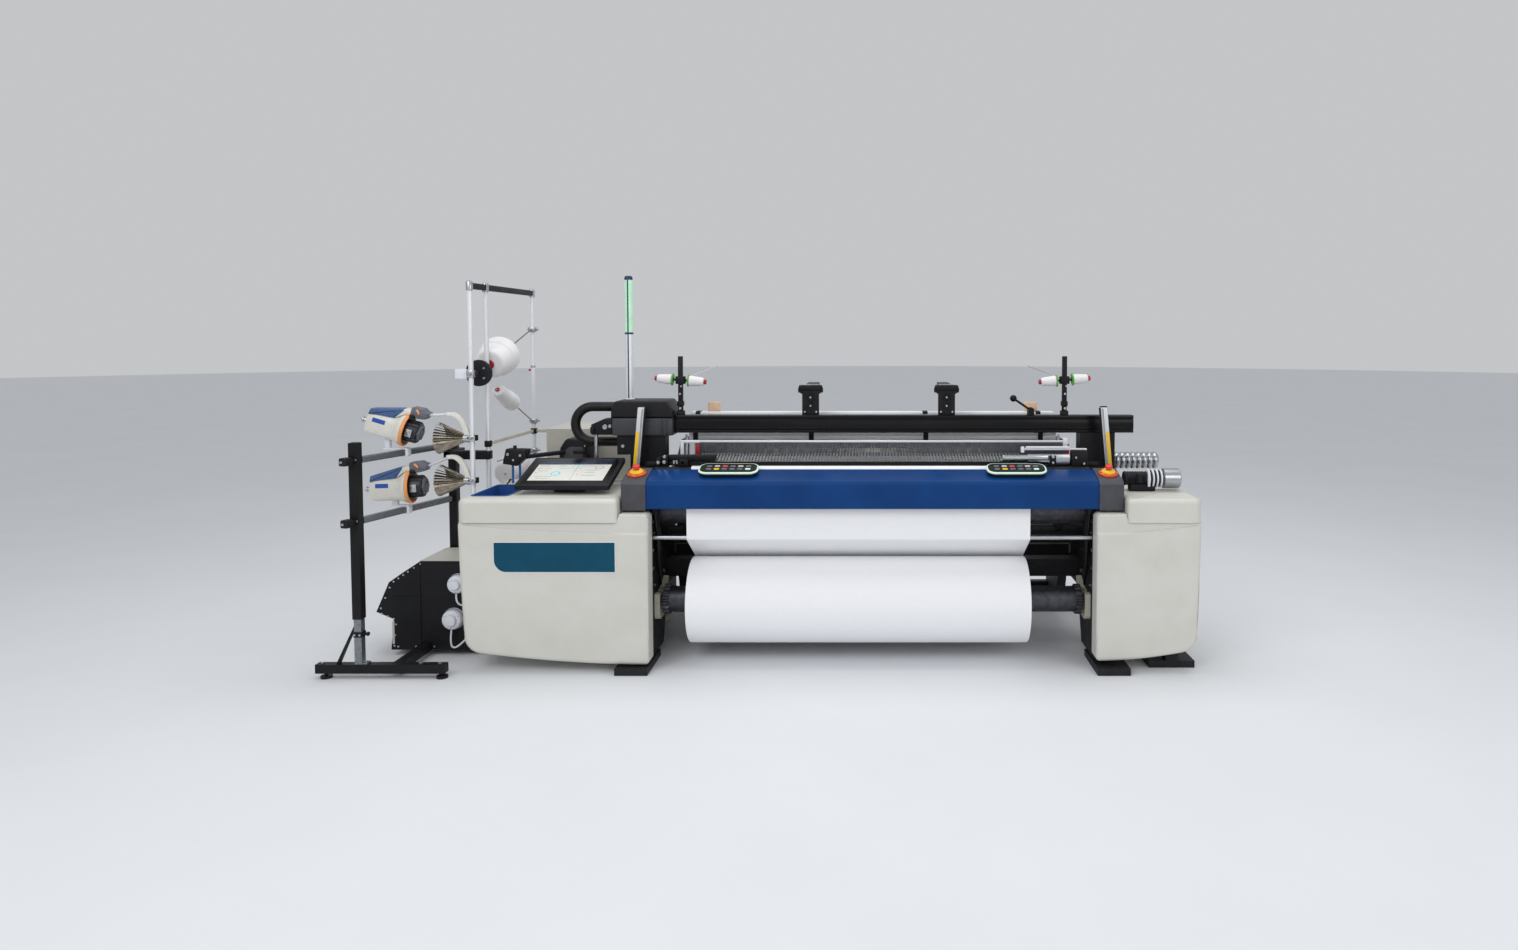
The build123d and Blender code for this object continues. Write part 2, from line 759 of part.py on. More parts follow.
def left_lid():
    lid = hollow_lid(left_outer, left_lid_depth)
    lid -= tray_prism(tray_corner, 0, lid_top - 2 * cover_wall, lid_top + overrun)
    return mirrored(lid)


def tray_prism(corner, inset, low, high):
    """The tray's outline at high x, set in by inset, between two heights."""
    left, right = tray_right + inset, tray_left - inset
    front, back = tray_front + inset, tray_back - inset
    return upright(rounded([(left, front, corner), (right, front, corner), (right, back, corner),
                            (left, back, corner)]), low, high)


def storage_tray():
    floor = lid_top - tray_depth
    tub = tray_prism(tray_corner, running_gap, floor, lid_top)
    tub += tray_prism(tray_corner + tray_lip, -tray_lip, lid_top, lid_top + tray_wall)
    tub -= tray_prism(tray_corner - tray_wall, tray_wall, floor + tray_wall, lid_top + overrun)
    return mirrored(tub)


def beam_profile(proud, drop):
    """The breast beam's outer profile, moved out by proud at the front and top."""
    return [(-proud, beam_bottom - drop), (-proud, beam_shoulder + proud / 2),
            (beam_edge_y, beam_edge_z + proud), (beam_back_y, beam_back_z + proud),
            (beam_back_y, beam_bottom - drop)]


def breast_beam():
    skin = across(sharp(beam_profile(0, 0)), -beam_half, beam_half)
    inner = [(sheet_wall, beam_bottom - overrun), (sheet_wall, beam_shoulder), (beam_edge_y, beam_edge_z - sheet_wall),
             (beam_back_y - sheet_wall, beam_back_z - 2 * sheet_wall), (beam_back_y - sheet_wall, breast_tube_high),
             (breast_tube_front, breast_tube_high), (breast_tube_front, breast_tube_low - overrun),
             (breast_tube_front, beam_bottom - overrun)]
    skin -= across(sharp(inner), -beam_half - overrun, beam_half + overrun)
    skin -= block(-beam_half - overrun, beam_half + overrun, breast_tube_front - overrun, beam_back_y + overrun,
                  beam_bottom - overrun, breast_tube_high)
    return skin


def beam_ends():
    low = beam_half
    cap = across(sharp(beam_profile(beam_end_proud, beam_end_drop)), low, low + beam_end_width)
    cap = fillet(cap.faces().sort_by(Axis.X)[-1].edges(), beam_end_round)
    cap -= across(sharp([(sheet_wall, beam_bottom - overrun), (sheet_wall, beam_shoulder - sheet_wall),
                         (beam_edge_y, beam_shoulder - sheet_wall), (breast_tube_back, beam_shoulder - sheet_wall),
                         (breast_tube_back, beam_bottom - overrun)]), low - overrun,
                  low + beam_end_width - 2 * sheet_wall)
    cap -= block(low - overrun, wall_outer + running_gap, frame_front - running_gap, beam_back_y + overrun,
                 beam_bottom - overrun, deck_z)
    cap += block(low, wall_outer, breast_tube_back - overrun, beam_back_y, deck_z, beam_shoulder)
    return joined([cap, mirrored(cap)])


def stop_place(side):
    return on_beam(side * (beam_half + stop_inset), stop_along_share, beam_end_proud * math.cos(
        math.radians(beam_slope())))


def stop_switches():
    pieces = []
    up = (Align.CENTER, Align.CENTER, Align.MIN)
    for side in (-1, 1):
        ring = Cylinder(ring_radius, ring_height, align=up)
        ring -= Cylinder(collar_foot + running_gap, ring_height, align=up)
        collar = Cone(collar_foot, collar_top, ring_height + collar_height, align=up)
        collar -= Pos(0, 0, ring_height + collar_height - button_stem_length) * Cylinder(
            button_stem + running_gap, button_stem_length + overrun, align=up)
        pieces += [stop_place(side) * ring, stop_place(side) * collar]
    return joined(pieces)


def stop_button(side):
    up = (Align.CENTER, Align.CENTER, Align.MIN)
    head = Cylinder(button_radius, button_height, align=up)
    head = fillet(head.edges().sort_by(Axis.Z)[-1], button_round)
    stem = Pos(0, 0, -button_stem_length + 2 * button_travel + running_gap) * Cylinder(
        button_stem, button_stem_length, align=up)
    return stop_place(side) * Pos(0, 0, ring_height + collar_height + button_travel + running_gap) * (head + stem)


def panel_face(inset):
    length, depth = panel_length / 2 - inset, panel_depth / 2 - inset
    corner = panel_corner - inset
    return rounded([(-length, -depth, corner), (length, -depth, corner), (length, depth, corner),
                    (-length, depth, corner)])


def keypads():
    pieces = []
    for side in (-1, 1):
        place = on_beam(side * panel_x, panel_along_share, 0)
        body = upright(panel_face(rim_width / 2), 0, panel_height)
        rim = upright(panel_face(0), panel_height, panel_height + rim_height)
        rim -= upright(panel_face(rim_width), panel_height - overrun, panel_height + rim_height + overrun)
        pieces += [place * body, place * rim]
    return joined(pieces)


def screen_place():
    return Pos(screen_x, screen_mid_y, screen_mid_z) * Rot(screen_tilt, 0, 0)


def hinge_centre():
    """Place in y and z of the screen's hinge axis."""
    tilt = math.radians(screen_tilt)
    drop = screen_thick / 2 + hinge_drop
    return screen_mid_y + drop * math.sin(tilt), screen_mid_z - drop * math.cos(tilt)


def display_housing():
    wide, long = screen_width / 2, screen_length / 2
    face = rounded([(-wide, -long, screen_corner), (wide, -long, screen_corner), (wide, long, screen_corner),
                    (-wide, long, screen_corner)])
    case = upright(face, -screen_thick / 2, screen_thick / 2)
    pocket_x, pocket_y = wide - glass_margin_x, long - glass_margin_y
    case -= block(-pocket_x, pocket_x, -pocket_y, pocket_y, screen_thick / 2 - glass_thick, screen_thick / 2 + overrun)
    knuckle = hinge_width / 2 - foot_ear - running_gap
    ear = block(-knuckle, knuckle, -hinge_radius, hinge_radius, -screen_thick / 2 - hinge_drop, -screen_thick / 2)
    axis_z = -screen_thick / 2 - hinge_drop
    ear += rod((-knuckle, 0, axis_z), (knuckle, 0, axis_z), hinge_radius)
    ear -= rod((-hinge_width, 0, axis_z), (hinge_width, 0, axis_z), hinge_radius / 2 + shaft_fit)
    return screen_place() * (case + ear)


def display_screen():
    pocket_x, pocket_y = screen_width / 2 - glass_margin_x, screen_length / 2 - glass_margin_y
    return screen_place() * block(-pocket_x, pocket_x, -pocket_y, pocket_y, screen_thick / 2 - glass_thick,
                                  screen_thick / 2)


def display_foot():
    y, z = hinge_centre()
    left, right = screen_x - foot_width / 2, screen_x + foot_width / 2
    foot = block(left, right, y - foot_depth / 2, y + foot_depth / 2, lid_top, lid_top + foot_plate)
    outer, inner = hinge_width / 2, hinge_width / 2 - foot_ear
    for side in (-1, 1):
        near, far = sorted((screen_x + side * inner, screen_x + side * outer))
        foot += block(near, far, y - hinge_radius, y + hinge_radius, lid_top + foot_plate, z)
        foot += rod((near, y, z), (far, y, z), hinge_radius)
    foot += rod((screen_x - outer, y, z), (screen_x + outer, y, z), hinge_radius / 2)
    return foot


def top_beam():
    beam = block(top_left, top_right, top_y, top_y + top_depth, top_z, top_z + top_height)
    groove = top_height / 2 - top_lip / 2
    beam -= block(top_left - overrun, top_right + overrun, top_y - overrun, top_y + top_lip / 2,
                  top_z + groove + top_lip, top_z + groove + 2 * top_lip)
    y, z = lever_y, lever_z
    near, far = y - lever_hub_width / 2, y + lever_hub_width / 2
    for front, back in ((near - lever_ear - running_gap, near - running_gap),
                        (far + running_gap, far + lever_ear + running_gap)):
        beam += block(lever_x - lever_hub, lever_x + lever_hub, front, back, top_z + top_height, z + lever_hub)
    beam += rod((lever_x, near - lever_ear, z), (lever_x, far + lever_ear, z), lever_pin)
    return beam


def clamp_lever():
    y, z = lever_y, lever_z
    near, far = y - lever_hub_width / 2, y + lever_hub_width / 2
    lever = rod((lever_x, near, z), (lever_x, far, z), lever_hub)
    tip = (lever_x + lever_reach, y, z + lever_rise)
    lever += rod((lever_x, y, z), tip, lever_rod)
    lever += Plane(origin=tip, z_dir=(lever_reach, 0, lever_rise)) * Sphere(knob_radius)
    return lever - rod((lever_x, near - overrun, z), (lever_x, far + overrun, z), lever_pin + shaft_fit)


def beam_posts():
    post = block(post_inner, post_outer, post_front, post_back, deck_z, top_z)
    post -= block(wall_outer + overrun, post_outer + overrun, post_front - overrun, post_back + overrun,
                  deck_z - overrun, deck_z + overrun)
    socket = block(socket_left, socket_right, post_front, post_back + hose_radius * 2,
                   socket_low, socket_high)
    return joined([post, mirrored(post) + socket])


def comb_head(x, top):
    """The wider rounded head of a guide comb."""
    wide, low = comb_head_width / 2, top - comb_head_height
    return rounded([(x - wide, low, comb_head_round), (x + wide, low, comb_head_round),
                    (x + wide, top, comb_head_round), (x - wide, top, comb_head_round)])


def heald_guides():
    """Black combs on the top beam, and the side channels that the heald frames run in."""
    pieces = []
    base = top_z + top_height
    first = heald_first_y
    for x in (guide_left_x, guide_right_x):
        wide = comb_width / 2
        back = top_y + top_depth
        comb = block(x - wide, x + wide, back - comb_plate, back, base, base + comb_height)
        comb += deep(comb_head(x, base + comb_height), back - comb_plate, back)
        arm = comb_arm_width / 2
        comb += block(x - arm, x + arm, back - comb_plate, back + comb_arm_length, base + comb_height -
                      comb_arm_height, base + comb_height)
        for index in range(heald_count):
            y = first + index * heald_pitch
            comb -= block(x - wide, x + wide, y, y + heald_thick + channel_gap, base, base + comb_height -
                          comb_arm_height + comb_slot_depth)
        pieces.append(comb)
    last = first + (heald_count - 1) * heald_pitch + heald_thick
    channel = block(channel_inner, wall_half, first - channel_margin, last + channel_margin, channel_low, channel_high)
    for index in range(heald_count):
        y = first + index * heald_pitch
        channel -= block(channel_inner - overrun, heald_half + channel_gap, y - channel_gap, y + heald_thick +
                         channel_gap, channel_low - overrun, channel_high + overrun)
    pieces += [channel, mirrored(channel)]
    return joined(pieces)


def harness_cover():
    top = hood_high
    face = rounded([(hood_left, hood_low, 0), (hood_right, hood_low, 0),
                    (hood_right, top - hood_shoulder, hood_corner / 2), (hood_right - hood_shoulder, top, hood_corner),
                    (hood_left + hood_corner, top, hood_corner), (hood_left, top - hood_shoulder, hood_corner / 2)])
    shell = deep(face, hood_front, hood_back)
    shell -= block(hood_left + sheet_wall, hood_right - sheet_wall, hood_front + sheet_wall, hood_back - sheet_wall,
                   hood_low - overrun, top - hood_shoulder - sheet_wall)
    shell -= block(hood_right - 2 * sheet_wall, hood_right + overrun, top_y - running_gap,
                   top_y + top_depth + running_gap, hood_low - overrun, top_z + top_height)
    rib = block(top_left, top_left + overrun, top_y, top_y + top_depth, top_z + top_height,
                top - hood_shoulder - sheet_wall)
    return shell + rib


def cable_hose():
    high, low = hose_top_z, hose_low_z
    middle = (high + low) / 2
    bend = (high - low) / 2
    line = Curve() + [
        Line((hood_left, hose_y, high), (hose_bend_x, hose_y, high)),
        ThreePointArc((hose_bend_x, hose_y, high), (hose_bend_x - bend, hose_y, middle), (hose_bend_x, hose_y, low)),
        Line((hose_bend_x, hose_y, low), (socket_left, hose_y, low))]
    return sweep(Plane(origin=(hood_left, hose_y, high), z_dir=(-1, 0, 0)) * Circle(hose_radius), path=line)


def signal_lamp():
    mast = rod((lamp_x, lamp_y, hood_high), (lamp_x, lamp_y, lens_low), lamp_radius)
    lens = rod((lamp_x, lamp_y, lens_low), (lamp_x, lamp_y, lens_high), lamp_radius)
    cap = rod((lamp_x, lamp_y, lens_high), (lamp_x, lamp_y, lamp_top), lamp_radius)
    cap = fillet(cap.edges().sort_by(Axis.Z)[-1], lamp_radius / 2)
    return joined([mast, lens, cap])


def light_posts():
    foot_top = deck_z + curtain_foot_height
    wide, near = curtain_width / 2, curtain_y - curtain_depth / 2
    foot = block(wall_half, curtain_foot_x + wide, near, near + curtain_depth, deck_z, foot_top)
    lean = sharp([(curtain_foot_x - wide, foot_top), (curtain_foot_x + wide, foot_top),
                  (curtain_head_x + wide, curtain_top), (curtain_head_x - wide, curtain_top)])
    post = foot + deep(lean, near, near + curtain_depth)
    return joined([post, mirrored(post)])


def peg_ends(side):
    """Start and end of the two bobbin pegs on one post."""
    y = top_y + top_depth / 2
    x = side * peg_post_x
    for way in (-1, 1):
        yield ((x, y, peg_z), (x + way * peg_reach, y, peg_z + peg_rise * way * side))


def along(start, end, distance):
    """A point on the way from start to end."""
    run = (Vector(*end) - Vector(*start)).normalized()
    point = Vector(*start) + run * distance
    return point.X, point.Y, point.Z


def bobbin_posts():
    pieces = []
    y = top_y + top_depth / 2
    half = peg_post_side / 2
    for side in (-1, 1):
        x = side * peg_post_x
        post = block(x - half, x + half, y - half, y + half, top_z + top_height, peg_post_top)
        for start, end in peg_ends(side):
            post += rod(start, end, peg_radius)
            post += rod(along(start, end, peg_stop - flange_width), along(start, end, peg_stop), flange_radius / 2)
        pieces.append(post)
    return joined(pieces)


def package(start, end, at, foot, nose, length, peg):
    """A wound package on a peg: a cone with a bore for the peg."""
    low, high = along(start, end, at), along(start, end, at + length)
    cone = taper(low, high, foot, nose)
    cone = fillet(cone.edges().filter_by(GeomType.CIRCLE), foot * package_round_share)
    bore = rod(along(start, end, at - overrun), along(start, end, at + length + overrun), peg + bobbin_bore_gap)
    return cone - bore


def cone_pegs():
    """The three creel spikes: start, end, and the package on each."""
    spot = (pole_x, pole_rear_y - clamp_size / 2)
    upper = ((*spot, upper_clamp_z), (pole_x, eye_y, eye_z), big_at, big_foot, big_nose, big_length)
    lower = ((*spot, lower_clamp_z), (pole_x, eye_y, eye_z), small_at, small_foot, small_nose, small_length)
    third = ((*spot, third_clamp_z), (pole_x, eye_y, third_aim_z), third_at, third_foot, third_nose, third_length)
    return upper, lower, third


def yarn_packages():
    pieces = []
    for side in (-1, 1):
        for start, end in peg_ends(side):
            pieces.append(package(start, end, peg_stop, bobbin_foot, bobbin_nose, bobbin_length, peg_radius))
    for start, end, at, foot, nose, length in cone_pegs():
        pieces.append(package(start, end, at, foot, nose, length, spike_radius))
    return joined(pieces)


def temples():
    pieces = []
    for edge, way in ((cloth_left, 1), (cloth_right, -1)):
        inner, outer = edge + way * temple_length / 2, edge - way * temple_length / 2
        low, high = min(inner, outer), max(inner, outer)
        body = block(low, high, temple_front, temple_back, temple_low, temple_high)
        arm_low, arm_high = sorted((outer, outer - way * temple_arm))
        body += block(arm_low, arm_high, nose_y, temple_back, nose_z + nose_radius, temple_high)
        body += rod((low, temple_back, temple_low), (high, temple_back, temple_low), temple_roll_radius)
        pieces.append(body)
    return joined(pieces)


def guide_bar():
    return rod((-wall_half, guide_y, guide_z), (wall_half, guide_y, guide_z), guide_radius)


def beam_hooks():
    """Open hooks on the side walls, in which the cloth beam's stubs lie."""
    outer, inner = wall_half, wall_half - hook_width
    face = rounded([(roll_y - hook_reach, roll_z - hook_drop, hook_width), (roll_y + hook_depth, roll_z - hook_drop, 0),
                    (roll_y + hook_depth, roll_z + hook_rise * 2, 0), (roll_y + hook_reach, roll_z + hook_rise, 0),
                    (roll_y - hook_reach, roll_z + hook_rise, hook_width / 2)])
    hook = across(face, inner, outer)
    size = core_stub + shaft_fit
    hook -= rod((inner - overrun, roll_y, roll_z), (outer + overrun, roll_y, roll_z), size)
    hook -= block(inner - overrun, outer + overrun, roll_y - size, roll_y + size, roll_z, roll_z + hook_rise + overrun)
    return joined([hook, mirrored(hook)])


def take_up_roller():
    half = wall_half - 2 * running_gap
    roller = rod((-half, take_up_y, take_up_z), (half, take_up_y, take_up_z), take_up_radius)
    stub = wall_outer - running_gap
    return roller + rod((-stub, take_up_y, take_up_z), (stub, take_up_y, take_up_z), take_up_stub)


def cloth_core():
    core = rod((-core_half, roll_y, roll_z), (core_half, roll_y, roll_z), core_radius)
    stub = wall_half - running_gap
    core += rod((-stub, roll_y, roll_z), (stub, roll_y, roll_z), core_stub)
    for start in (cloth_left - core_ring_width, cloth_right):
        core += rod((start, roll_y, roll_z), (start + core_ring_width, roll_y, roll_z), core_ring_radius)
    gear = toothed(core_head_radius, core_teeth, core_tooth_share)
    head = across(Pos(roll_y, roll_z) * gear, core_half - core_head_width, core_half)
    return core + head + mirrored(head)


def cloth_roll():
    roll = rod((cloth_left, roll_y, roll_z), (cloth_right, roll_y, roll_z), roll_radius)
    return roll - rod((cloth_left - overrun, roll_y, roll_z), (cloth_right + overrun, roll_y, roll_z),
                      core_radius + running_gap)


def fabric_web():
    """The free cloth, from the fell over the bars to just above the roll."""
    return sheet(cloth_path(), cloth_thick, cloth_left, cloth_right)


def cloth_path():
    """Stops of the cloth: place and signed radius of each bar, seen along x."""
    gap = web_gap + cloth_thick / 2
    return [(fell_y, cloth_level, 0), (nose_y, nose_z, -nose_radius - gap),
            (take_up_y, take_up_z, take_up_radius + gap), (turn_y, turn_z, -turn_radius - gap),
            (guide_y, guide_z, -guide_radius - gap), (roll_y, roll_z, roll_radius + 2 * gap)]


def warp_path():
    """Stops of the warp sheet, from the healds over the back rest to the warp roll."""
    gap = web_gap + warp_thick / 2
    return [(warp_end_y, cloth_level, 0), (back_y, back_z, back_radius + gap),
            (warp_y, warp_z, warp_radius + 2 * gap)]


def warp_sheet():
    return sheet(warp_path(), warp_thick, cloth_left, cloth_right)


def warp_beam():
    stub = wall_outer - running_gap
    beam = rod((-stub, warp_y, warp_z), (stub, warp_y, warp_z), warp_stub)
    half = wall_half - 2 * running_gap
    beam += rod((-half, warp_y, warp_z), (half, warp_y, warp_z), barrel_radius)
    for start in (cloth_centre_x - flange_half_gap - flange_thick, cloth_centre_x + flange_half_gap):
        beam += rod((start, warp_y, warp_z), (start + flange_thick, warp_y, warp_z), flange_disc)
    gear = Pos(warp_y, warp_z) * toothed(gear_radius, gear_teeth, gear_tooth_share)
    return beam + across(gear, half - gear_width - gear_width, half - gear_width)


def warp_roll():
    low, high = cloth_centre_x - flange_half_gap, cloth_centre_x + flange_half_gap
    roll = rod((low, warp_y, warp_z), (high, warp_y, warp_z), warp_radius)
    return roll - rod((low - overrun, warp_y, warp_z), (high + overrun, warp_y, warp_z), barrel_radius + running_gap)


def back_rest_roller():
    half = wall_half - 2 * running_gap
    roller = rod((-half, back_y, back_z), (half, back_y, back_z), back_radius)
    stub = wall_outer - running_gap
    return roller + rod((-stub, back_y, back_z), (stub, back_y, back_z), back_stub)


def stop_motion():
    """Dropper rails above the warp, on two end plates against the side walls."""
    rail_low = cloth_level + rail_lift
    last = rail_first_y + (rail_count - 1) * rail_pitch + rail_width
    plate = block(rail_half, wall_half, rail_first_y - rail_width, last + rail_width, deck_z - rail_end,
                  rail_low + rail_height)
    frame = plate + mirrored(plate)
    for index in range(rail_count):
        y = rail_first_y + index * rail_pitch
        frame += block(-rail_half, rail_half, y, y + rail_width, rail_low, rail_low + rail_height)
    return frame


def sley_beam():
    """Rocker shaft, swords and sley."""
    half = wall_half - 2 * running_gap
    shaft = rod((-half, rocker_y, rocker_z), (half, rocker_y, rocker_z), rocker_radius)
    stub = wall_outer - running_gap
    shaft += rod((-stub, rocker_y, rocker_z), (stub, rocker_y, rocker_z), rocker_stub)
    low, high = reed_low - sley_height, reed_low
    front = reed_y - sley_depth / 2
    beam = block(-sley_half, sley_half, front, front + sley_depth, low, high)
    lip = block(reed_left, reed_right, front, front + sley_nose, high, high + sley_nose)
    pitch = 2 * (sley_half - sword_width) / (sword_count - 1)
    for index in range(sword_count):
        x = -sley_half + sword_width / 2 + index * pitch
        foot, head = sword_thick, sword_thick / 2
        sword = sharp([(rocker_y - foot / 2, rocker_z), (rocker_y + foot / 2, rocker_z), (reed_y + head / 2, low),
                       (reed_y - head / 2, low)])
        shaft += across(sword, x, x + sword_width)
    return shaft + beam + lip


def reed():
    """The reed: a comb of upright ribs between two rails, seen in plan as one ribbed wall."""
    back = reed_y + reed_thick
    pitch = (reed_right - reed_left) / reed_count
    points = [(reed_left, back), (reed_left, reed_y + reed_rib)]
    for index in range(reed_count):
        x = reed_left + index * pitch
        points += [(x + pitch / 4, reed_y + reed_rib), (x + pitch / 4, reed_y), (x + 3 * pitch / 4, reed_y),
                   (x + 3 * pitch / 4, reed_y + reed_rib)]
    points += [(reed_right, reed_y + reed_rib), (reed_right, back)]
    wall = upright(sharp(points), reed_low, reed_high - reed_rail)
    return wall + block(reed_left, reed_right, reed_y, back, reed_high - reed_rail, reed_high)


def heald_frame(index):
    """One heald frame: two rails, two end stiles and upright healds between them."""
    raised = index >= heald_count / 2
    top = heald_low_top + (heald_lift if raised else 0)
    y = heald_first_y + index * heald_pitch
    low = top - heald_height
    frame = block(-heald_half, heald_half, y, y + heald_thick, low, top)
    pitch = 2 * (heald_half - heald_stile) / heald_slots
    for slot in range(heald_slots):
        x = -heald_half + heald_stile + slot * pitch
        frame -= block(x + heald_bar / 2, x + pitch - heald_bar / 2, y - overrun, y + heald_thick + overrun,
                       low + heald_rail, top - heald_rail)
    pieces = [frame]
    if index == heald_count - 1:
        for side in (-1, 1):
            x = side * block_x
            pieces.append(block(x - block_width / 2, x + block_width / 2, y, y + heald_thick, top, top + block_height))
    return joined(pieces)


def control_cabinet():
    case = block(cabinet_left, cabinet_right, cabinet_front, cabinet_back, cabinet_low, cabinet_high)
    case = fillet(case.edges().filter_by(Axis.Z), cabinet_round)
    door = block(cabinet_left + door_margin, cabinet_right - door_margin, cabinet_back, cabinet_back + door_proud,
                 cabinet_low + door_margin, cabinet_high - door_margin)
    shelf = block(cabinet_right, -wall_outer, cabinet_front + door_margin, cabinet_front + 2 * door_margin,
                  cabinet_low + door_margin, deck_z - side_corner)
    return case + door + shelf


def drive_units():
    """Main motor behind the left cover, take-up and let-off gearboxes on the side walls."""
    face = -wall_outer
    motor = rod((face - motor_length, motor_y, motor_z), (face, motor_y, motor_z), motor_radius)
    box = take_up_box
    take_up = block(face - box, face, take_up_y - box / 2, take_up_y + box / 2, take_up_z - box * take_up_box_shares[0],
                    take_up_z - box * take_up_box_shares[1])
    let_off = block(wall_outer, wall_outer + let_off_width, warp_y - let_off_depth / 2, warp_y + let_off_depth / 2,
                    warp_z - let_off_drop, warp_z - let_off_drop + let_off_height)
    return joined([motor, take_up, let_off])


def glide(x, y):
    """A levelling foot under the stand."""
    return rod((x, y, 0), (x, y, glide_disc), glide_radius) + rod((x, y, 0), (x, y, base_low), glide_stem)


def stand_base():
    half = tube / 2
    base = block(base_left, base_right, base_y - half, base_y + half, base_low, base_high)
    base += block(column_x - half, column_x + half, base_y, column_y + half, base_low, base_high)
    for x, y in ((base_left + tube, base_y), (base_right - half, base_y), (column_x, column_y)):
        base += glide(x, y)
    base += block(column_x - half, column_x + half, column_y - half, column_y + half, base_high, column_top)
    left = front_post_x - mast_side / 2
    brace = sharp([(left - brace_run, base_high), (left - brace_run + brace_side, base_high),
                   (left, base_high + brace_rise - brace_side), (left, base_high + brace_rise)])
    base += deep(brace, base_y - brace_side / 2, base_y + brace_side / 2)
    return base


def stand_mast():
    half, foot = mast_side / 2, mast_foot / 2
    x, y = front_post_x, base_y
    mast = block(x - half, x + half, y - half, y + half, base_high, mast_top)
    return mast + block(x - half, x + foot, y - half, y + half, base_high, base_high + mast_foot_height)


def rail_line(z):
    """Start and end of a feeder rail: from the sleeve post back to the column."""
    return (front_post_x, base_y, z), (column_x, column_y, z)


def stand_sleeve():
    """Outer post over the mast, with the two feeder rails running back to the column."""
    half, core = tube / 2, mast_side / 2 + sleeve_gap
    x, y = front_post_x, base_y
    post = block(x - half, x + half, y - half, y + half, sleeve_low, sleeve_top)
    post -= block(x - core, x + core, y - core, y + core, sleeve_low - overrun, mast_top)
    run, drop = column_x - x, column_y - base_y
    turn = math.degrees(math.atan2(drop, run))
    long = math.hypot(run, drop)
    side = rail_side / 2
    for z in (upper_rail_z, lower_rail_z):
        rail = block(-rail_overhang, long, -side, side, z - side, z + side)
        rail += rod((-rail_overhang - knob_end, 0, z), (-rail_overhang, 0, z), knob_end)
        post += Pos(x, y, 0) * Rot(0, 0, turn) * rail
    post -= block(column_x - half, column_x + half, column_y - half, column_y + half, base_high, column_top)
    return post


def feeder_places():
    """The two feeders: place of each mouth, and the rail below it."""
    upper = Pos(upper_feeder_x, feeder_y, upper_feeder_z) * Rot(0, upper_pitch, feeder_turn)
    lower = Pos(lower_feeder_x, feeder_y, lower_feeder_z) * Rot(0, lower_pitch, feeder_turn)
    return (upper, upper_rail_z), (lower, lower_rail_z)


def feeder_bell():
    """The moulded feeder body: a rounded box that widens from its tail, then opens to the round mouth."""
    middle, height = (shell_low + shell_high) / 2, shell_high - shell_low
    tail = RectangleRounded(shell_width * shell_tail_share, height, shell_round)
    waist = RectangleRounded(shell_width, height, shell_round)
    bell = -mouth_width - bell_length
    mouth = RectangleRounded(2 * mouth_radius, 2 * mouth_radius, mouth_radius - bell_flat)
    ends = [Plane.YZ.offset(-shell_length) * Pos(0, middle) * tail, Plane.YZ.offset(bell) * Pos(0, middle) * waist,
            Plane.YZ.offset(-mouth_width) * mouth]
    return loft(ends[:2], ruled=True) + loft(ends[1:], ruled=True)


def feeder_shell():
    """Housing, lid, halo ring and sensor head of one feeder. The axis is x and the mouth is at zero."""
    tail = shell_width * shell_tail_share / 2
    body = feeder_bell()
    body += rod((-mouth_width, 0, 0), (0, 0, 0), mouth_radius)
    body += rod((-shell_length - tail_length, 0, 0), (-shell_length, 0, 0), tail_knob)
    body += rod((0, 0, 0), (winder_width + 2 * running_gap, 0, 0), spindle_radius)
    neck = neck_width / 2
    body += block(-mouth_width, halo_width + running_gap, -neck, neck, mouth_radius, head_high)
    bell = -mouth_width - bell_length
    lid = deep(sharp([(-shell_length + shell_round, shell_high), (bell, shell_high),
                      (bell - lid_rise, shell_high + lid_rise),
                      (-shell_length + lid_rise, shell_high + lid_rise / 2)]), -tail + sheet_wall, tail - sheet_wall)
    halo = rod((0, 0, 0), (halo_width, 0, 0), mouth_radius) - rod((0, 0, 0), (halo_width + overrun, 0, 0), halo_inner)
    half = head_width / 2
    head = block(halo_width + running_gap, halo_width + running_gap + head_length, -half, half, head_low, head_high)
    return [body, lid, halo, head]


def feeder_bracket(place, rail_z):
    """White foot from the housing down to its rail."""
    foot = place * Pos(-mouth_width - bracket_length, 0, shell_low)
    x, y, z = foot.position.X, foot.position.Y, foot.position.Z
    start, end = rail_line(rail_z)
    share = (y - start[1]) / (end[1] - start[1])
    rail_x = start[0] + (end[0] - start[0]) * share
    half = bracket_width / 2
    top = rail_z + rail_side / 2
    low_x, high_x = min(x, rail_x) - half, max(x, rail_x) + half
    stem = block(x - half, x + half, y - half, y + half, top, z + bracket_width)
    arm = block(low_x, high_x, y - half, y + half, top, top + bracket_arm)
    return stem + arm


def feeder_housings():
    pieces = []
    for place, rail_z in feeder_places():
        shell = [place * piece for piece in feeder_shell()]
        shell[0] = shell[0] + feeder_bracket(place, rail_z)
        pieces += shell
    return joined(pieces)


def feeder_drums():
    start = winder_width + 2 * running_gap
    drum = rod((start, 0, 0), (start + drum_length, 0, 0), drum_radius)
    drum = fillet(drum.edges().sort_by(Axis.X)[-1], hinge_radius)
    return joined([place * drum for place, _ in feeder_places()])


def winder(place):
    disc = rod((running_gap, 0, 0), (running_gap + winder_width, 0, 0), winder_radius)
    disc -= rod((-overrun, 0, 0), (overrun, 0, 0), spindle_radius + shaft_fit)
    return place * disc


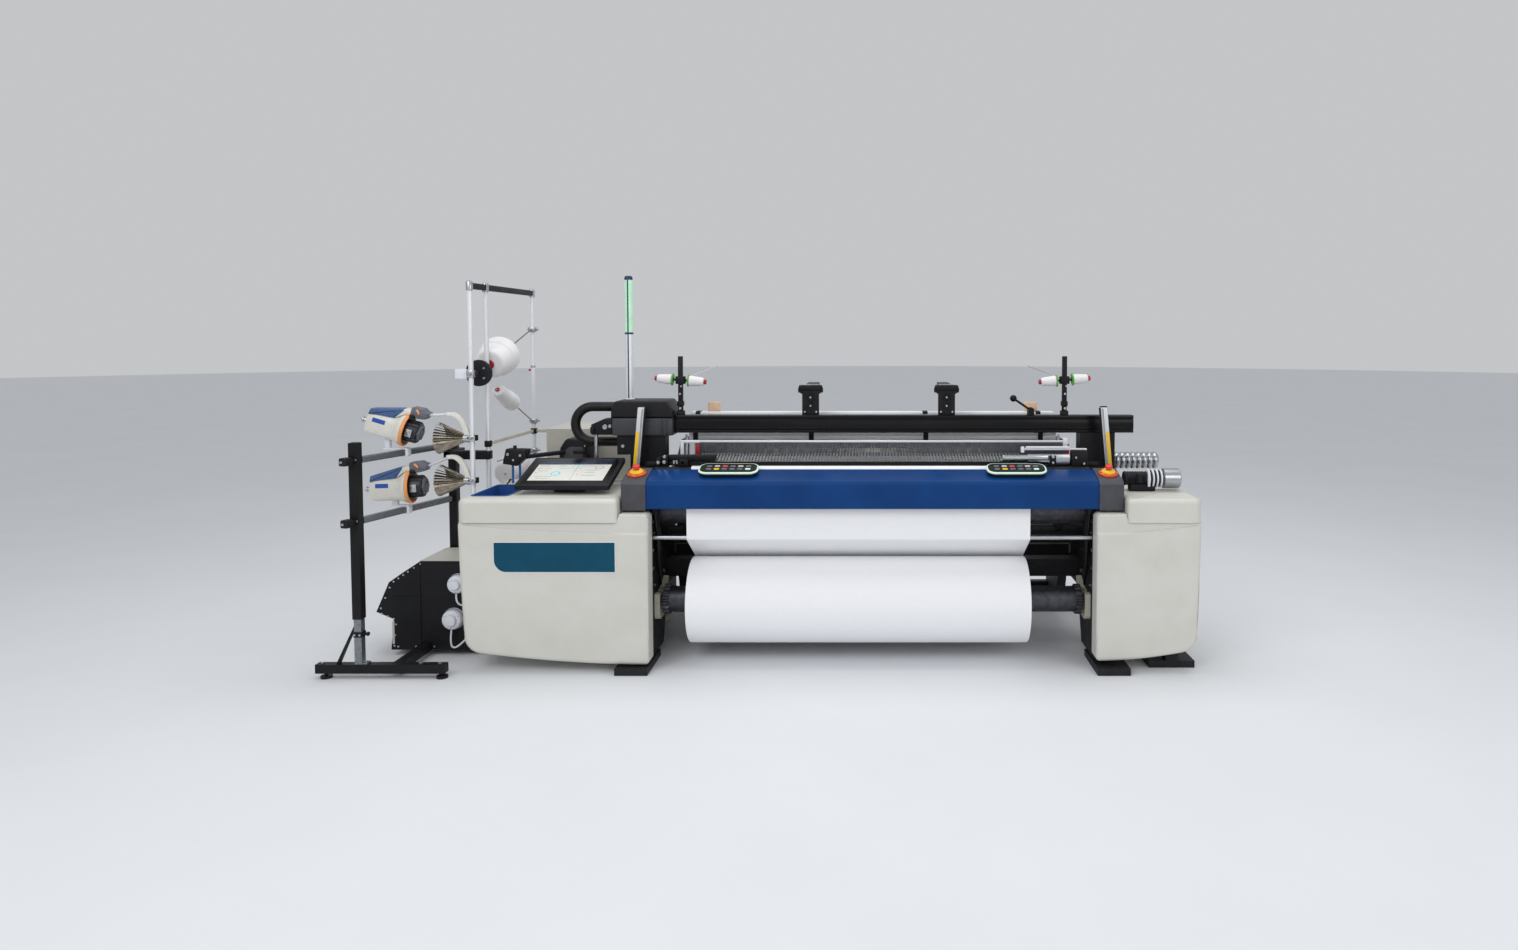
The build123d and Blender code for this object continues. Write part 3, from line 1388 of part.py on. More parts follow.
def breaker_arm(z):
    """A flat bar that rises from the hub and bends forward over the cone."""
    run_share, rise_share = arm_knee_shares
    knee = (hub_x - arm_reach * run_share, z + arm_rise * rise_share)
    tip = (hub_x - arm_reach, z + arm_rise)
    line = FilletPolyline((hub_x, z), knee, tip, radius=arm_bend)
    return deep(trace(line, arm_bar), feeder_y - arm_width / 2, feeder_y + arm_width / 2)


def arm_link(place, z):
    """The rod between a feeder's sensor head and the tip of the breaker's arm."""
    front = halo_width + 2 * running_gap + head_length
    start = (place * Pos(front - link_radius, 0, (head_low + head_high) / 2)).position
    link = rod((start.X, start.Y, start.Z), (hub_x - arm_reach, feeder_y, z + arm_rise), link_radius)
    return link - place * block(0, front, -head_width, head_width, head_low - overrun, head_high + overrun)


def breaker(z):
    """A slatted cone with its hub on the creel pole and the arm above it."""
    y = feeder_y
    run = hub_x - mouth_x
    slant = math.hypot(run, slat_mouth - slat_hub)
    open_angle = math.degrees(math.atan2(slat_mouth - slat_hub, run))
    slat = upright(sharp([(0, -slat_narrow), (0, slat_narrow), (-slant, slat_wide), (-slant, -slat_wide)]),
                   0, slat_thick)
    hub = rod((hub_x - hub_length / 2, y, z), (pole_x - pole_radius - running_gap, y, z), hub_radius)
    for index in range(slat_count):
        turn = 360 * index / slat_count
        hub += Pos(hub_x, y, z) * Rot(turn, 0, 0) * Pos(0, 0, slat_hub - slat_thick) * Rot(0, open_angle, 0) * slat
    hub += breaker_arm(z)
    half = clamp_size / 2
    hub += block(pole_x - half, pole_x + half, y - half, y + half, z - half / 2, z + half / 2)
    return hub - rod((pole_x, y, pole_low - overrun), (pole_x, y, pole_top), pole_radius)


def balloon_breakers():
    (upper, _), (lower, _) = feeder_places()
    return joined([breaker(upper_breaker_z) + arm_link(upper, upper_breaker_z),
                   breaker(lower_breaker_z) + arm_link(lower, lower_breaker_z)])


def creel_frame():
    """Three poles with a top bar, a tie bar to the cabinet, clamps and spikes."""
    frame = None
    wide, high = creel_bar_width / 2, creel_bar_height / 2
    top = pole_top - high
    frame = block(pole_x - wide, pole_x + wide, pole_front_y - high, pole_rear_y + high, top - high, top + high)
    for y, low in ((pole_front_y, pole_low), (pole_mid_y, pole_low), (pole_rear_y, pole_rear_low)):
        frame += rod((pole_x, y, low), (pole_x, y, top), pole_radius)
    half = tie_height / 2
    frame += block(pole_x - tie_thick / 2, pole_x + tie_thick / 2, pole_mid_y, pole_rear_y, tie_z - half, tie_z + half)
    frame += block(pole_x, cabinet_left, pole_rear_y - tie_thick / 2, pole_rear_y + tie_thick / 2, tie_z - half,
                   tie_z + half)
    grip = clamp_size / 2
    for z in (upper_clamp_z, lower_clamp_z, third_clamp_z):
        frame += block(pole_x - grip, pole_x + grip, pole_rear_y - grip, pole_rear_y + grip, z - grip, z + grip)
    for start, end, at, foot, nose, length in cone_pegs():
        frame += rod(start, along(start, end, at + length + spike_head_width), spike_radius)
        frame += rod(along(start, end, at - spike_head_width), along(start, end, at), spike_head)
    frame += rod((pole_x, eye_y - eye_thick / 2, eye_z), (pole_x, eye_y + eye_thick / 2, eye_z), eye_radius)
    frame += block(pole_x - eye_bar / 2, pole_x + eye_bar / 2, pole_front_y, pole_mid_y, eye_z - eye_bar / 2,
                   eye_z + eye_bar / 2)
    side = column_x + tube / 2
    depth = head_block_depth / 2
    frame += block(side, pole_x, pole_mid_y - depth, pole_mid_y + depth, head_block_low, head_block_high)
    frame += block(side, side + tube, pole_mid_y - depth, column_y, head_block_low, head_block_high)
    return frame


def weft_nozzle():
    """Nozzle block on its arm, the carrier box behind the lid, and two air tubes."""
    body = block(nozzle_left, nozzle_right, nozzle_front, nozzle_back, nozzle_low, nozzle_high)
    middle_y = (nozzle_front + nozzle_back) / 2
    middle_z = (nozzle_low + nozzle_high) / 2
    carrier = block(carrier_left, carrier_right, carrier_front, carrier_back, cover_seam, carrier_high)
    arm = rod((nozzle_right - nozzle_arm, middle_y, middle_z),
              (carrier_left + 2 * nozzle_arm, carrier_front + nozzle_arm, middle_z), nozzle_arm)
    body = body + carrier + arm
    for share in air_tube_shares:
        x = nozzle_left + (nozzle_right - nozzle_left) * share
        body += rod((x, middle_y, lid_top), (x, middle_y, nozzle_low + nozzle_arm), air_tube_radius)
    return body


def waste_duct():
    """Corrugated duct drawn as one turned profile."""
    points = [(0, 0)]
    for ring in range(duct_rings):
        x = ring * duct_pitch
        points += [(x, duct_root), (x + duct_pitch / 4, duct_radius), (x + duct_pitch * 3 / 4, duct_radius)]
    points += [(duct_rings * duct_pitch, duct_root), (duct_rings * duct_pitch, 0)]
    duct = Pos(duct_left, duct_y, duct_z) * revolve(sharp(points), Axis.X)
    half = duct_bracket / 2
    foot = block(wall_half, duct_left + duct_pitch, duct_y - half, duct_y + half, deck_z, duct_z)
    return duct + foot


def selvedge_motor():
    """Winding motor on the right lid."""
    y, z = winch_y, winch_z
    body = rod((winch_left, y, z), (winch_right - winch_end - winch_neck, y, z), winch_radius - winch_neck / 4)
    body += rod((winch_left, y, z), (winch_right, y, z), winch_neck)
    body += rod((winch_right - winch_end, y, z), (winch_right, y, z), winch_radius)
    return body + block(winch_left + winch_neck, winch_right - winch_end - winch_neck, y - winch_foot / 2,
                        y + winch_foot / 2, lid_top, z)


def air_hood():
    left_edge = [(guard_left + guard_width * u, guard_low + guard_height * v) for u, v in guard_shares]
    face = sharp(left_edge + [(guard_right, guard_top), (guard_right, guard_low)])
    hood = deep(face, guard_front, guard_back)
    hollow = offset(face, -sheet_wall, kind=Kind.INTERSECTION)
    hood -= deep(hollow, guard_front + sheet_wall, guard_back + overrun)
    half = tube / 2
    hood -= block(column_x - half - running_gap, column_x + half + running_gap, guard_front - overrun,
                  guard_back + overrun, 0, base_high + running_gap)
    return hood + block(column_x - half, column_x + half, guard_back - sheet_wall, column_y - half,
                        guard_top - tube, guard_top)


def regulators():
    pieces = []
    for x, z, radius in ((unit_upper_x, unit_upper_z, unit_upper_radius),
                         (unit_lower_x, unit_lower_z, unit_lower_radius)):
        unit = rod((x, guard_front, z), (x, guard_front - unit_depth, z), radius)
        hub_end = guard_front - unit_depth - unit_hub_depth
        pieces.append(unit + rod((x, guard_front, z), (x, hub_end, z), radius * unit_hub_share))
    return joined(pieces)


def pieces():
    """Every node of the loom by name."""
    upper, lower = feeder_places()
    nodes = {
        "side_frames": side_frames(), "base_members": base_members(), "left_front_cover": left_cover(),
        "left_top_lid": left_lid(), "storage_tray": storage_tray(), "right_front_cover": right_cover(),
        "right_top_lid": hollow_lid(right_outer, right_lid_depth), "breast_beam": breast_beam(),
        "beam_ends": beam_ends(), "stop_switches": stop_switches(), "left_stop_button": stop_button(-1),
        "right_stop_button": stop_button(1), "keypads": keypads(), "display_foot": display_foot(),
        "display_housing": display_housing(), "display_screen": display_screen(), "top_beam": top_beam(),
        "beam_posts": beam_posts(), "heald_guides": heald_guides(), "harness_cover": harness_cover(),
        "cable_hose": cable_hose(), "control_cabinet": control_cabinet(), "signal_lamp": signal_lamp(),
        "light_posts": light_posts(), "bobbin_posts": bobbin_posts(), "yarn_packages": yarn_packages(),
        "clamp_lever": clamp_lever(), "temples": temples(), "guide_bar": guide_bar(), "beam_hooks": beam_hooks(),
        "take_up_roller": take_up_roller(), "cloth_core": cloth_core(), "cloth_roll": cloth_roll(),
        "fabric_web": fabric_web(), "warp_sheet": warp_sheet(), "warp_beam": warp_beam(), "warp_roll": warp_roll(),
        "back_rest_roller": back_rest_roller(), "stop_motion": stop_motion(), "sley_beam": sley_beam(),
        "reed": reed(), "stand_base": stand_base(), "stand_mast": stand_mast(), "stand_sleeve": stand_sleeve(),
        "feeder_housings": feeder_housings(), "feeder_drums": feeder_drums(), "upper_winder": winder(upper[0]),
        "lower_winder": winder(lower[0]), "balloon_breakers": balloon_breakers(), "creel_frame": creel_frame(),
        "weft_nozzle": weft_nozzle(), "waste_duct": waste_duct(), "selvedge_motor": selvedge_motor(),
        "air_hood": air_hood(), "regulators": regulators(), "drive_units": drive_units()}
    for index in range(heald_count):
        nodes[f"heald_frame_{index + 1}"] = heald_frame(index)
    return nodes


os.makedirs("parts", exist_ok=True)
nodes = pieces()
boxes = [shape.bounding_box() for shape in nodes.values()]
shift_x = -(min(box.min.X for box in boxes) + max(box.max.X for box in boxes)) / 2
shift_y = -(min(box.min.Y for box in boxes) + max(box.max.Y for box in boxes)) / 2
print("moved by", round(shift_x, 3), round(shift_y, 3))
for name, shape in nodes.items():
    export_step(Pos(shift_x, shift_y, 0) * shape, f"parts/{name}.step")
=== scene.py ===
# %% [markdown]
# An air-jet power loom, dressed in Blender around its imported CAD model. The frame gives every solid in
# metres; this lesson adds the finishes and the finer pieces, surface by surface, with numpy.

# %% Frame
import math

import bmesh
import bpy
import numpy as np
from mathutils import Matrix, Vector


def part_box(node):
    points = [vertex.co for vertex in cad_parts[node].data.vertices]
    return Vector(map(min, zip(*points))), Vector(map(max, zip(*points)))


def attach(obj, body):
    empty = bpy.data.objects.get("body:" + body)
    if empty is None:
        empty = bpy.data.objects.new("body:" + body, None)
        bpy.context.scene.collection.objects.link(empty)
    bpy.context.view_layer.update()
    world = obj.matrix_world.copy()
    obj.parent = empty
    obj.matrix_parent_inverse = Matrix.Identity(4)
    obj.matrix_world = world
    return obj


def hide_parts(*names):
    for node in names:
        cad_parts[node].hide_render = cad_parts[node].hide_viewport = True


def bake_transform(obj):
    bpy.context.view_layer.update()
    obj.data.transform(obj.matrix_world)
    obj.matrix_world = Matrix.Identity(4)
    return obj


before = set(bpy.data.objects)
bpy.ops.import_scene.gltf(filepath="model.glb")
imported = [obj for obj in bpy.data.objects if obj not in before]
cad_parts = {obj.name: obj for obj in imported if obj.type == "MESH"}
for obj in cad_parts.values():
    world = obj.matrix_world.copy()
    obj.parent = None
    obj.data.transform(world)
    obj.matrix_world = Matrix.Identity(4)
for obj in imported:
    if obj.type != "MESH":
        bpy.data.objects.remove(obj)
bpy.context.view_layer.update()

# %% [markdown]
# The loom was drawn in millimetres from its own zero: the middle of the machine, the front of the breast
# beam and the floor. The breast beam's box tells where that zero lies in the frame, so all pieces below
# are written in the loom's millimetres and moved home in one place.

# %% Loom zero
MM = 0.001
beam_low, beam_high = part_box("breast_beam")
HOME = np.array([(beam_low.x + beam_high.x) / 2, beam_low.y, 0.0])
print("loom zero in the frame:", HOME.round(4))

# %% [markdown]
# Materials. One small function adds a node with its settings, plain values and links. Most surfaces of
# the loom are coated or moulded: the colour drifts a little between two values, the gloss follows the
# same drift, and a finer noise gives the skin of the coat its relief. The grain sizes are millimetres.


def linear(code):
    """sRGB hex to linear: a channel c up to 0.04045 is c / 12.92, above it ((c + 0.055) / 1.055) ** 2.4."""
    channel = np.array([int(code[i:i + 2], 16) for i in (1, 3, 5)]) / 255
    value = np.where(channel <= 0.04045, channel / 12.92, ((channel + 0.055) / 1.055) ** 2.4)
    return (*value.tolist(), 1.0)


def add(tree, kind, values=None, links=None, **settings):
    """One node: its own settings, then plain input values, then links by socket name."""
    made = tree.nodes.new(kind)
    for key, value in settings.items():
        setattr(made, key, value)
    for key, value in (values or {}).items():
        made.inputs[key].default_value = value
    for key, source in (links or {}).items():
        tree.links.new(source, made.inputs[key])
    return made


def blank(name):
    """A new material: its node tree and its shader."""
    made = bpy.data.materials.new(name)
    made.use_nodes = True
    return made, made.node_tree, made.node_tree.nodes["Principled BSDF"]


def coat(name, light, dark, rough, drift=90.0, skin=2.5, relief=0.05, metallic=0.0, varnish=0.0,
         stretch=(1.0, 1.0, 1.0), swing=0.07, glow=None, shine=0.5):
    """A coated, moulded or machined surface.

    Colour = dark + (light - dark) x noise of size drift; roughness = rough +- swing x the same noise;
    height = relief x noise of size skin. Stretch draws the grain out, as a brush or a roll does; shine is the
    share of plain reflection."""
    made, tree, shader = blank(name)
    place = add(tree, "ShaderNodeTexCoord")
    turn = add(tree, "ShaderNodeMapping", {"Scale": stretch}, {"Vector": place.outputs["Object"]})
    cloud = add(tree, "ShaderNodeTexNoise", {"Scale": 1 / (drift * MM), "Detail": 4.0, "Roughness": 0.6},
                {"Vector": turn.outputs["Vector"]})
    tone = add(tree, "ShaderNodeValToRGB", None, {"Fac": cloud.outputs["Fac"]})
    tone.color_ramp.elements[0].position, tone.color_ramp.elements[1].position = 0.3, 0.7
    tone.color_ramp.elements[0].color, tone.color_ramp.elements[1].color = linear(dark), linear(light)
    gloss = add(tree, "ShaderNodeMapRange", {"From Min": 0.25, "From Max": 0.75, "To Min": rough + swing,
                                             "To Max": rough - swing}, {"Value": cloud.outputs["Fac"]})
    grit = add(tree, "ShaderNodeTexNoise", {"Scale": 1 / (skin * MM), "Detail": 3.0},
               {"Vector": turn.outputs["Vector"]})
    bump = add(tree, "ShaderNodeBump", {"Strength": 0.6, "Distance": relief * MM},
               {"Height": grit.outputs["Fac"]})
    tree.links.new(tone.outputs["Color"], shader.inputs["Base Color"])
    tree.links.new(gloss.outputs["Result"], shader.inputs["Roughness"])
    tree.links.new(bump.outputs["Normal"], shader.inputs["Normal"])
    plain = {"Metallic": metallic, "Specular IOR Level": shine, "Coat Weight": varnish, "Coat Roughness": 0.25}
    if glow:
        plain.update({"Emission Color": linear(glow[0]), "Emission Strength": glow[1]})
    for key, value in plain.items():
        shader.inputs[key].default_value = value
    return made


# Moulded polyurethane covers: warm light grey, fine leather-like mould skin, soft gloss.
cover_grey = coat("moulded_polyurethane_grey", "#D5D3CC", "#CCCAC2", 0.42, 260, 3.0, 0.06)
# Satin enamel on folded steel: deep blue with a thin clear layer.
beam_blue = coat("satin_enamel_blue", "#0A3F7C", "#07356C", 0.34, 320, 1.6, 0.03, varnish=0.03,
                 shine=0.14)
# Moulded nylon of the beam ends: dark grey with a dull sheen.
end_grey = coat("moulded_nylon_dark", "#4C4C52", "#414147", 0.45, 60, 1.6, 0.05, shine=0.35)
# Powder-coated steel: near black with the orange-peel skin of baked powder.
black_coat = coat("powder_coat_black", "#1A1A1D", "#121215", 0.46, 80, 3.0, 0.08, shine=0.22)
# Glossy black enamel of the top beam.
black_gloss = coat("enamel_black", "#0C0C0E", "#08080A", 0.26, 160, 2.0, 0.03, varnish=0.05,
                   shine=0.2)
# Black ABS of the hoods and consoles.
black_abs = coat("moulded_abs_black", "#1E1E22", "#17171B", 0.48, 70, 1.4, 0.06, shine=0.22)
# Cast iron in dark machine paint.
cast_iron = coat("painted_cast_iron", "#242427", "#19191C", 0.55, 40, 5.0, 0.25, shine=0.25)
# Cream enamel of the bearing hooks, and the pebble grey powder coat of the cabinet.
cream_cast = coat("cream_enamel_casting", "#C9C5B4", "#BBB7A6", 0.45, 60, 4.0, 0.2)
cabinet_grey = coat("powder_coat_pebble_grey", "#C3C1B7", "#B9B7AD", 0.45, 120, 2.5, 0.06)
# Drawn and anodised aluminium: the grain runs up the poles, or along x on the rails.
aluminium = coat("anodised_aluminium", "#EEF0F2", "#DEE0E3", 0.40, 30, 1.2, 0.03, 0.35,
                 stretch=(1.0, 1.0, 0.08))
aluminium_x = coat("extruded_aluminium", "#E8E9EC", "#D8DADE", 0.38, 30, 1.2, 0.03, 0.3,
                   stretch=(0.05, 1.0, 1.0))
# The rails of the heald frames are painted paler than the other aluminium: painted light that makes up for the shade of
# the top beam they lie in.
aluminium_painted_bright = coat("aluminium_painted_bright_in_shade", "#F6F7F9", "#EBEDF0", 0.40, 30, 1.2, 0.03, 0.0,
                      stretch=(0.05, 1.0, 1.0))
# Turned and ground steel, and its blackened form.
steel = coat("ground_steel", "#C6C8CC", "#A9ABB0", 0.28, 20, 0.8, 0.02, 1.0, stretch=(0.1, 1.0, 1.0))
dark_steel = coat("blackened_steel", "#55555A", "#3E3E44", 0.42, 30, 2.0, 0.05, 0.8)
# Hot-dip galvanised tube: blue grey with zinc spangle.
zinc = coat("galvanised_steel", "#92979C", "#70757A", 0.38, 9, 4.0, 0.03, 0.75)
rubber = coat("ribbed_rubber_black", "#161618", "#0F0F11", 0.34, 40, 2.0, 0.04, shine=0.3)
tray_blue = coat("moulded_abs_blue", "#2F5C9E", "#27508C", 0.42, 90, 1.5, 0.05, shine=0.3)
stop_yellow = coat("moulded_abs_yellow", "#F4C51C", "#EDBB12", 0.38, 40, 1.0, 0.03)
stop_orange = coat("moulded_abs_orange", "#DD571E", "#D24B16", 0.36, 30, 1.0, 0.03, varnish=0.2)
stop_red = coat("moulded_abs_red", "#E2392F", "#D63028", 0.35, 30, 1.0, 0.03, varnish=0.2)
white_unit = coat("moulded_abs_white", "#E6E8EE", "#DCDEE6", 0.38, 50, 1.5, 0.04)
feeder_beige = coat("moulded_abs_beige", "#E0DED5", "#D6D4CA", 0.42, 60, 1.5, 0.05)
feeder_blue = coat("translucent_abs_blue", "#4D6A9B", "#34507E", 0.34, 12, 1.2, 0.12)
head_grey = coat("moulded_nylon_grey", "#6B6D76", "#5C5E68", 0.45, 30, 1.2, 0.05)
halo_orange = coat("lit_polycarbonate_orange", "#EBA166", "#E29150", 0.35, 30, 1.0, 0.02,
                   glow=("#E99A5A", 0.05))
drum_dark = coat("ceramic_coated_drum", "#3A3A3F", "#2A2A2F", 0.36, 20, 1.2, 0.04, 0.4)
slat_steel = coat("oiled_spring_steel", "#A39A8C", "#6A6356", 0.27, 14, 1.2, 0.03, 1.0,
                  stretch=(0.2, 1.0, 1.0))
lamp_green = coat("lit_acrylic_green", "#C6E9CD", "#AFE0BA", 0.30, 60, 1.0, 0.01,
                  glow=("#9FE6B0", 0.15))
lamp_navy = coat("moulded_abs_navy", "#1D2A5C", "#182350", 0.35, 40, 1.0, 0.03)
rim_green = coat("lit_silicone_green", "#DCF1E0", "#CBEBD3", 0.40, 20, 1.0, 0.02,
                 glow=("#BDEECA", 0.08))
beech = coat("planed_beech", "#EBCBAF", "#DDB795", 0.55, 14, 1.0, 0.06, stretch=(1.0, 1.0, 0.12))
plate_teal = coat("printed_foil_teal", "#004A64", "#00445C", 0.46, 120, 1.4, 0.02, shine=0.2)
plate_edge = coat("printed_foil_pale", "#E9ECEC", "#E1E4E4", 0.40, 120, 1.4, 0.02)
foil_duct = coat("crimped_aluminium_duct", "#C9CBCF", "#9FA1A8", 0.26, 12, 3.0, 0.15, 0.95)

# %% [markdown]
# Yarn and cloth. The cloth is a plain weave of white cotton; its real threads are half a millimetre apart
# and would not show, so the weave is drawn five times as coarse. Warp threads run along the second UV
# axis and weft along the first, each a wave, and their product swells where one thread lies on top.

# %% Cloth and yarn
FULL_TURN = 6.2832


def woven(name, light, dark, weft_mm, warp_mm, relief):
    """Plain weave: height = a sine wave along u x a sine wave along v. The threads lie weft_mm and warp_mm apart,
    and a wave repeats about every two threads: it is the sine of 20 x scale x u."""
    made, tree, shader = blank(name)
    place = add(tree, "ShaderNodeTexCoord")
    weft, warp = (add(tree, "ShaderNodeTexWave", {"Scale": 1 / (pitch * MM) / FULL_TURN, "Distortion": 0.6},
                      {"Vector": place.outputs["UV"]}, bands_direction=way)
                  for pitch, way in ((weft_mm, "X"), (warp_mm, "Y")))
    both = add(tree, "ShaderNodeMath", None, {0: weft.outputs["Fac"], 1: warp.outputs["Fac"]},
               operation="MULTIPLY")
    cloud = add(tree, "ShaderNodeTexNoise", {"Scale": 40.0, "Detail": 5.0}, {"Vector": place.outputs["UV"]})
    mixed = add(tree, "ShaderNodeMath", {1: 0.45}, {0: cloud.outputs["Fac"], 2: both.outputs["Value"]},
                operation="MULTIPLY_ADD")
    # The colour follows the same mix: the noise gives a random tone, and the weave's hollows are painted darker and its
    # tops lighter, as painted shade and highlight.
    tone = add(tree, "ShaderNodeValToRGB", None, {"Fac": mixed.outputs["Value"]})
    tone.color_ramp.elements[0].color, tone.color_ramp.elements[1].color = linear(dark), linear(light)
    bump = add(tree, "ShaderNodeBump", {"Strength": 0.5, "Distance": relief * MM},
               {"Height": mixed.outputs["Value"]})
    tree.links.new(tone.outputs["Color"], shader.inputs["Base Color"])
    tree.links.new(bump.outputs["Normal"], shader.inputs["Normal"])
    shader.inputs["Roughness"].default_value = 0.85
    shader.inputs["Sheen Weight"].default_value = 0.25
    return made


cotton = woven("woven_cotton_white", "#F7F7F8", "#EBECF0", 2.5, 2.5, 0.25)
warp_yarn = woven("cotton_warp_sheet", "#E9E7E1", "#BDBBB4", 4.0, 400.0, 0.5)
wound_yarn = woven("wound_cotton_yarn", "#F3F1F1", "#E2DFE0", 60.0, 3.0, 0.3)

# %% [markdown]
# Every CAD node keeps its shape until a finer piece stands for it, and every node gets a finish.

# %% Finishes of the CAD nodes
NODE_FINISH = {
    cast_iron: ["side_frames", "base_members", "drive_units", "stop_motion", "sley_beam"],
    cover_grey: ["left_front_cover", "left_top_lid", "right_front_cover", "right_top_lid"],
    tray_blue: ["storage_tray"],
    beam_blue: ["breast_beam"],
    end_grey: ["beam_ends"],
    stop_yellow: ["stop_switches"],
    stop_red: ["left_stop_button", "right_stop_button"],
    black_abs: ["keypads", "display_foot", "display_housing", "display_screen", "harness_cover", "weft_nozzle"],
    black_gloss: ["top_beam", "clamp_lever"],
    black_coat: ["beam_posts", "heald_guides", "bobbin_posts", "stand_base", "stand_sleeve", "air_hood"],
    rubber: ["cable_hose"],
    cabinet_grey: ["control_cabinet"],
    aluminium: ["signal_lamp", "light_posts", "creel_frame"],
    aluminium_x: ["heald_frame_1", "heald_frame_2", "heald_frame_3", "heald_frame_4"],
    wound_yarn: ["yarn_packages", "warp_roll"],
    steel: ["temples", "guide_bar", "reed", "back_rest_roller", "warp_beam", "selvedge_motor"],
    cream_cast: ["beam_hooks"],
    dark_steel: ["take_up_roller", "cloth_core"],
    cotton: ["cloth_roll", "fabric_web"],
    warp_yarn: ["warp_sheet"],
    zinc: ["stand_mast"],
    feeder_beige: ["feeder_housings"],
    drum_dark: ["feeder_drums", "upper_winder", "lower_winder"],
    slat_steel: ["balloon_breakers"],
    foil_duct: ["waste_duct"],
    white_unit: ["regulators"],
}
for finish, names in NODE_FINISH.items():
    for name in names:
        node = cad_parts[name]
        node.data.materials.clear()
        node.data.materials.append(finish)
print("CAD nodes finished:", sum(len(names) for names in NODE_FINISH.values()))

# %% [markdown]
# Shapes. Each function below returns points and faces in the loom's millimetres. A shape is a grid: rings
# of points carried along a line (loft), a profile turned about an axis (turned), a circle carried along a
# path (swept), or an outline carried through a thickness with rounded edges (slab).

# %% Grids and skins


def grid_faces(rows, columns, ring=True):
    """Quads between neighbours of a grid numbered row by row; ring joins the last column to the first."""
    row = np.arange(rows - 1)[:, None]
    column = np.arange(columns if ring else columns - 1)[None, :]
    after = (column + 1) % columns
    quads = [row * columns + column, row * columns + after, (row + 1) * columns + after, (row + 1) * columns + column]
    return np.stack(quads, -1).reshape(-1, 4).tolist()


def loft(rings, capped=True):
    """A skin over rings of points (rows, columns, 3), closed round, with a flat cap on each end."""
    rows, columns = rings.shape[:2]
    faces = grid_faces(rows, columns)
    if capped:
        faces += [list(range(columns))[::-1], list(range((rows - 1) * columns, rows * columns))]
    return rings.reshape(-1, 3), faces


def unit(vectors):
    """Vectors divided by their lengths."""
    vectors = np.asarray(vectors, float)
    return vectors / np.linalg.norm(vectors, axis=-1, keepdims=True)


def axes(direction):
    """Three unit axes, the third along the direction and the first level where it can be."""
    w = unit(direction)
    helper = np.array([0.0, 0.0, 1.0]) if abs(w[2]) < 0.9 else np.array([0.0, 1.0, 0.0])
    u = unit(np.cross(helper, w))
    return u, np.cross(w, u), w


def turned(profile, start, direction, sides=40):
    """A lathe: each profile pair (along, radius) is a circle centre + radius (u cos a + v sin a)."""
    u, v, w = axes(direction)
    along, radius = np.array(profile, float).T
    angle = np.linspace(0, 2 * np.pi, sides, endpoint=False)
    circle = np.cos(angle)[:, None] * u + np.sin(angle)[:, None] * v
    return loft(np.array(start, float) + along[:, None, None] * w + radius[:, None, None] * circle)


def rod(start, end, radius, sides=24, edge=1.0):
    """A round bar between two points with small chamfers."""
    run = np.subtract(end, start)
    length = np.linalg.norm(run)
    profile = [(0, radius - edge), (edge, radius), (length - edge, radius), (length, radius - edge)]
    return turned(profile, start, run, sides)


def swept(path, radius, sides=20, up=(0.0, 1.0, 0.0)):
    """A tube: at each path point a circle across the path's direction. The radius may vary along it."""
    path = np.array(path, float)
    along = unit(np.gradient(path, axis=0))
    side = unit(np.cross(up, along))
    over = np.cross(along, side)
    angle = np.linspace(0, 2 * np.pi, sides, endpoint=False)
    circle = np.cos(angle)[None, :, None] * side[:, None] + np.sin(angle)[None, :, None] * over[:, None]
    return loft(path[:, None] + np.broadcast_to(radius, len(path))[:, None, None] * circle)


def outline(corners, steps=6):
    """A closed outline: each corner (u, v, radius) becomes an arc that touches both of its sides."""
    point = np.array([corner[:2] for corner in corners], float)
    radius = np.array([max(corner[2], 0.2) for corner in corners], float)
    back, ahead = unit(np.roll(point, 1, 0) - point), unit(np.roll(point, -1, 0) - point)
    half = np.arccos(np.clip((back * ahead).sum(1), -1, 1)) / 2
    centre = point + unit(back + ahead) * (radius / np.sin(half))[:, None]
    first = point + back * (radius / np.tan(half))[:, None] - centre
    last = point + ahead * (radius / np.tan(half))[:, None] - centre
    start, stop = np.arctan2(first[:, 1], first[:, 0]), np.arctan2(last[:, 1], last[:, 0])
    swing = (stop - start + np.pi) % (2 * np.pi) - np.pi
    angle = start[:, None] + swing[:, None] * np.linspace(0, 1, steps)
    arc = centre[:, None] + radius[:, None, None] * np.stack([np.cos(angle), np.sin(angle)], -1)
    return arc.reshape(-1, 2)


def inward(line, distance):
    """An outline moved in along its corner normals."""
    along = unit(np.roll(line, -1, 0) - np.roll(line, 1, 0))
    across = np.stack([along[:, 1], -along[:, 0]], -1)
    area = (line[:, 0] * np.roll(line[:, 1], -1) - line[:, 1] * np.roll(line[:, 0], -1)).sum()
    return line - across * distance * (1 if area > 0 else -1)


XY = np.array([[1.0, 0, 0], [0, 1, 0], [0, 0, 1]])
XZ = np.array([[1.0, 0, 0], [0, 0, 1], [0, 1, 0]])
YZ = np.array([[0.0, 1, 0], [0, 0, 1], [1, 0, 0]])
ZERO, RIGHT, FRONT, UP = (0, 0, 0), (1, 0, 0), (0, -1, 0), (0, 0, 1)


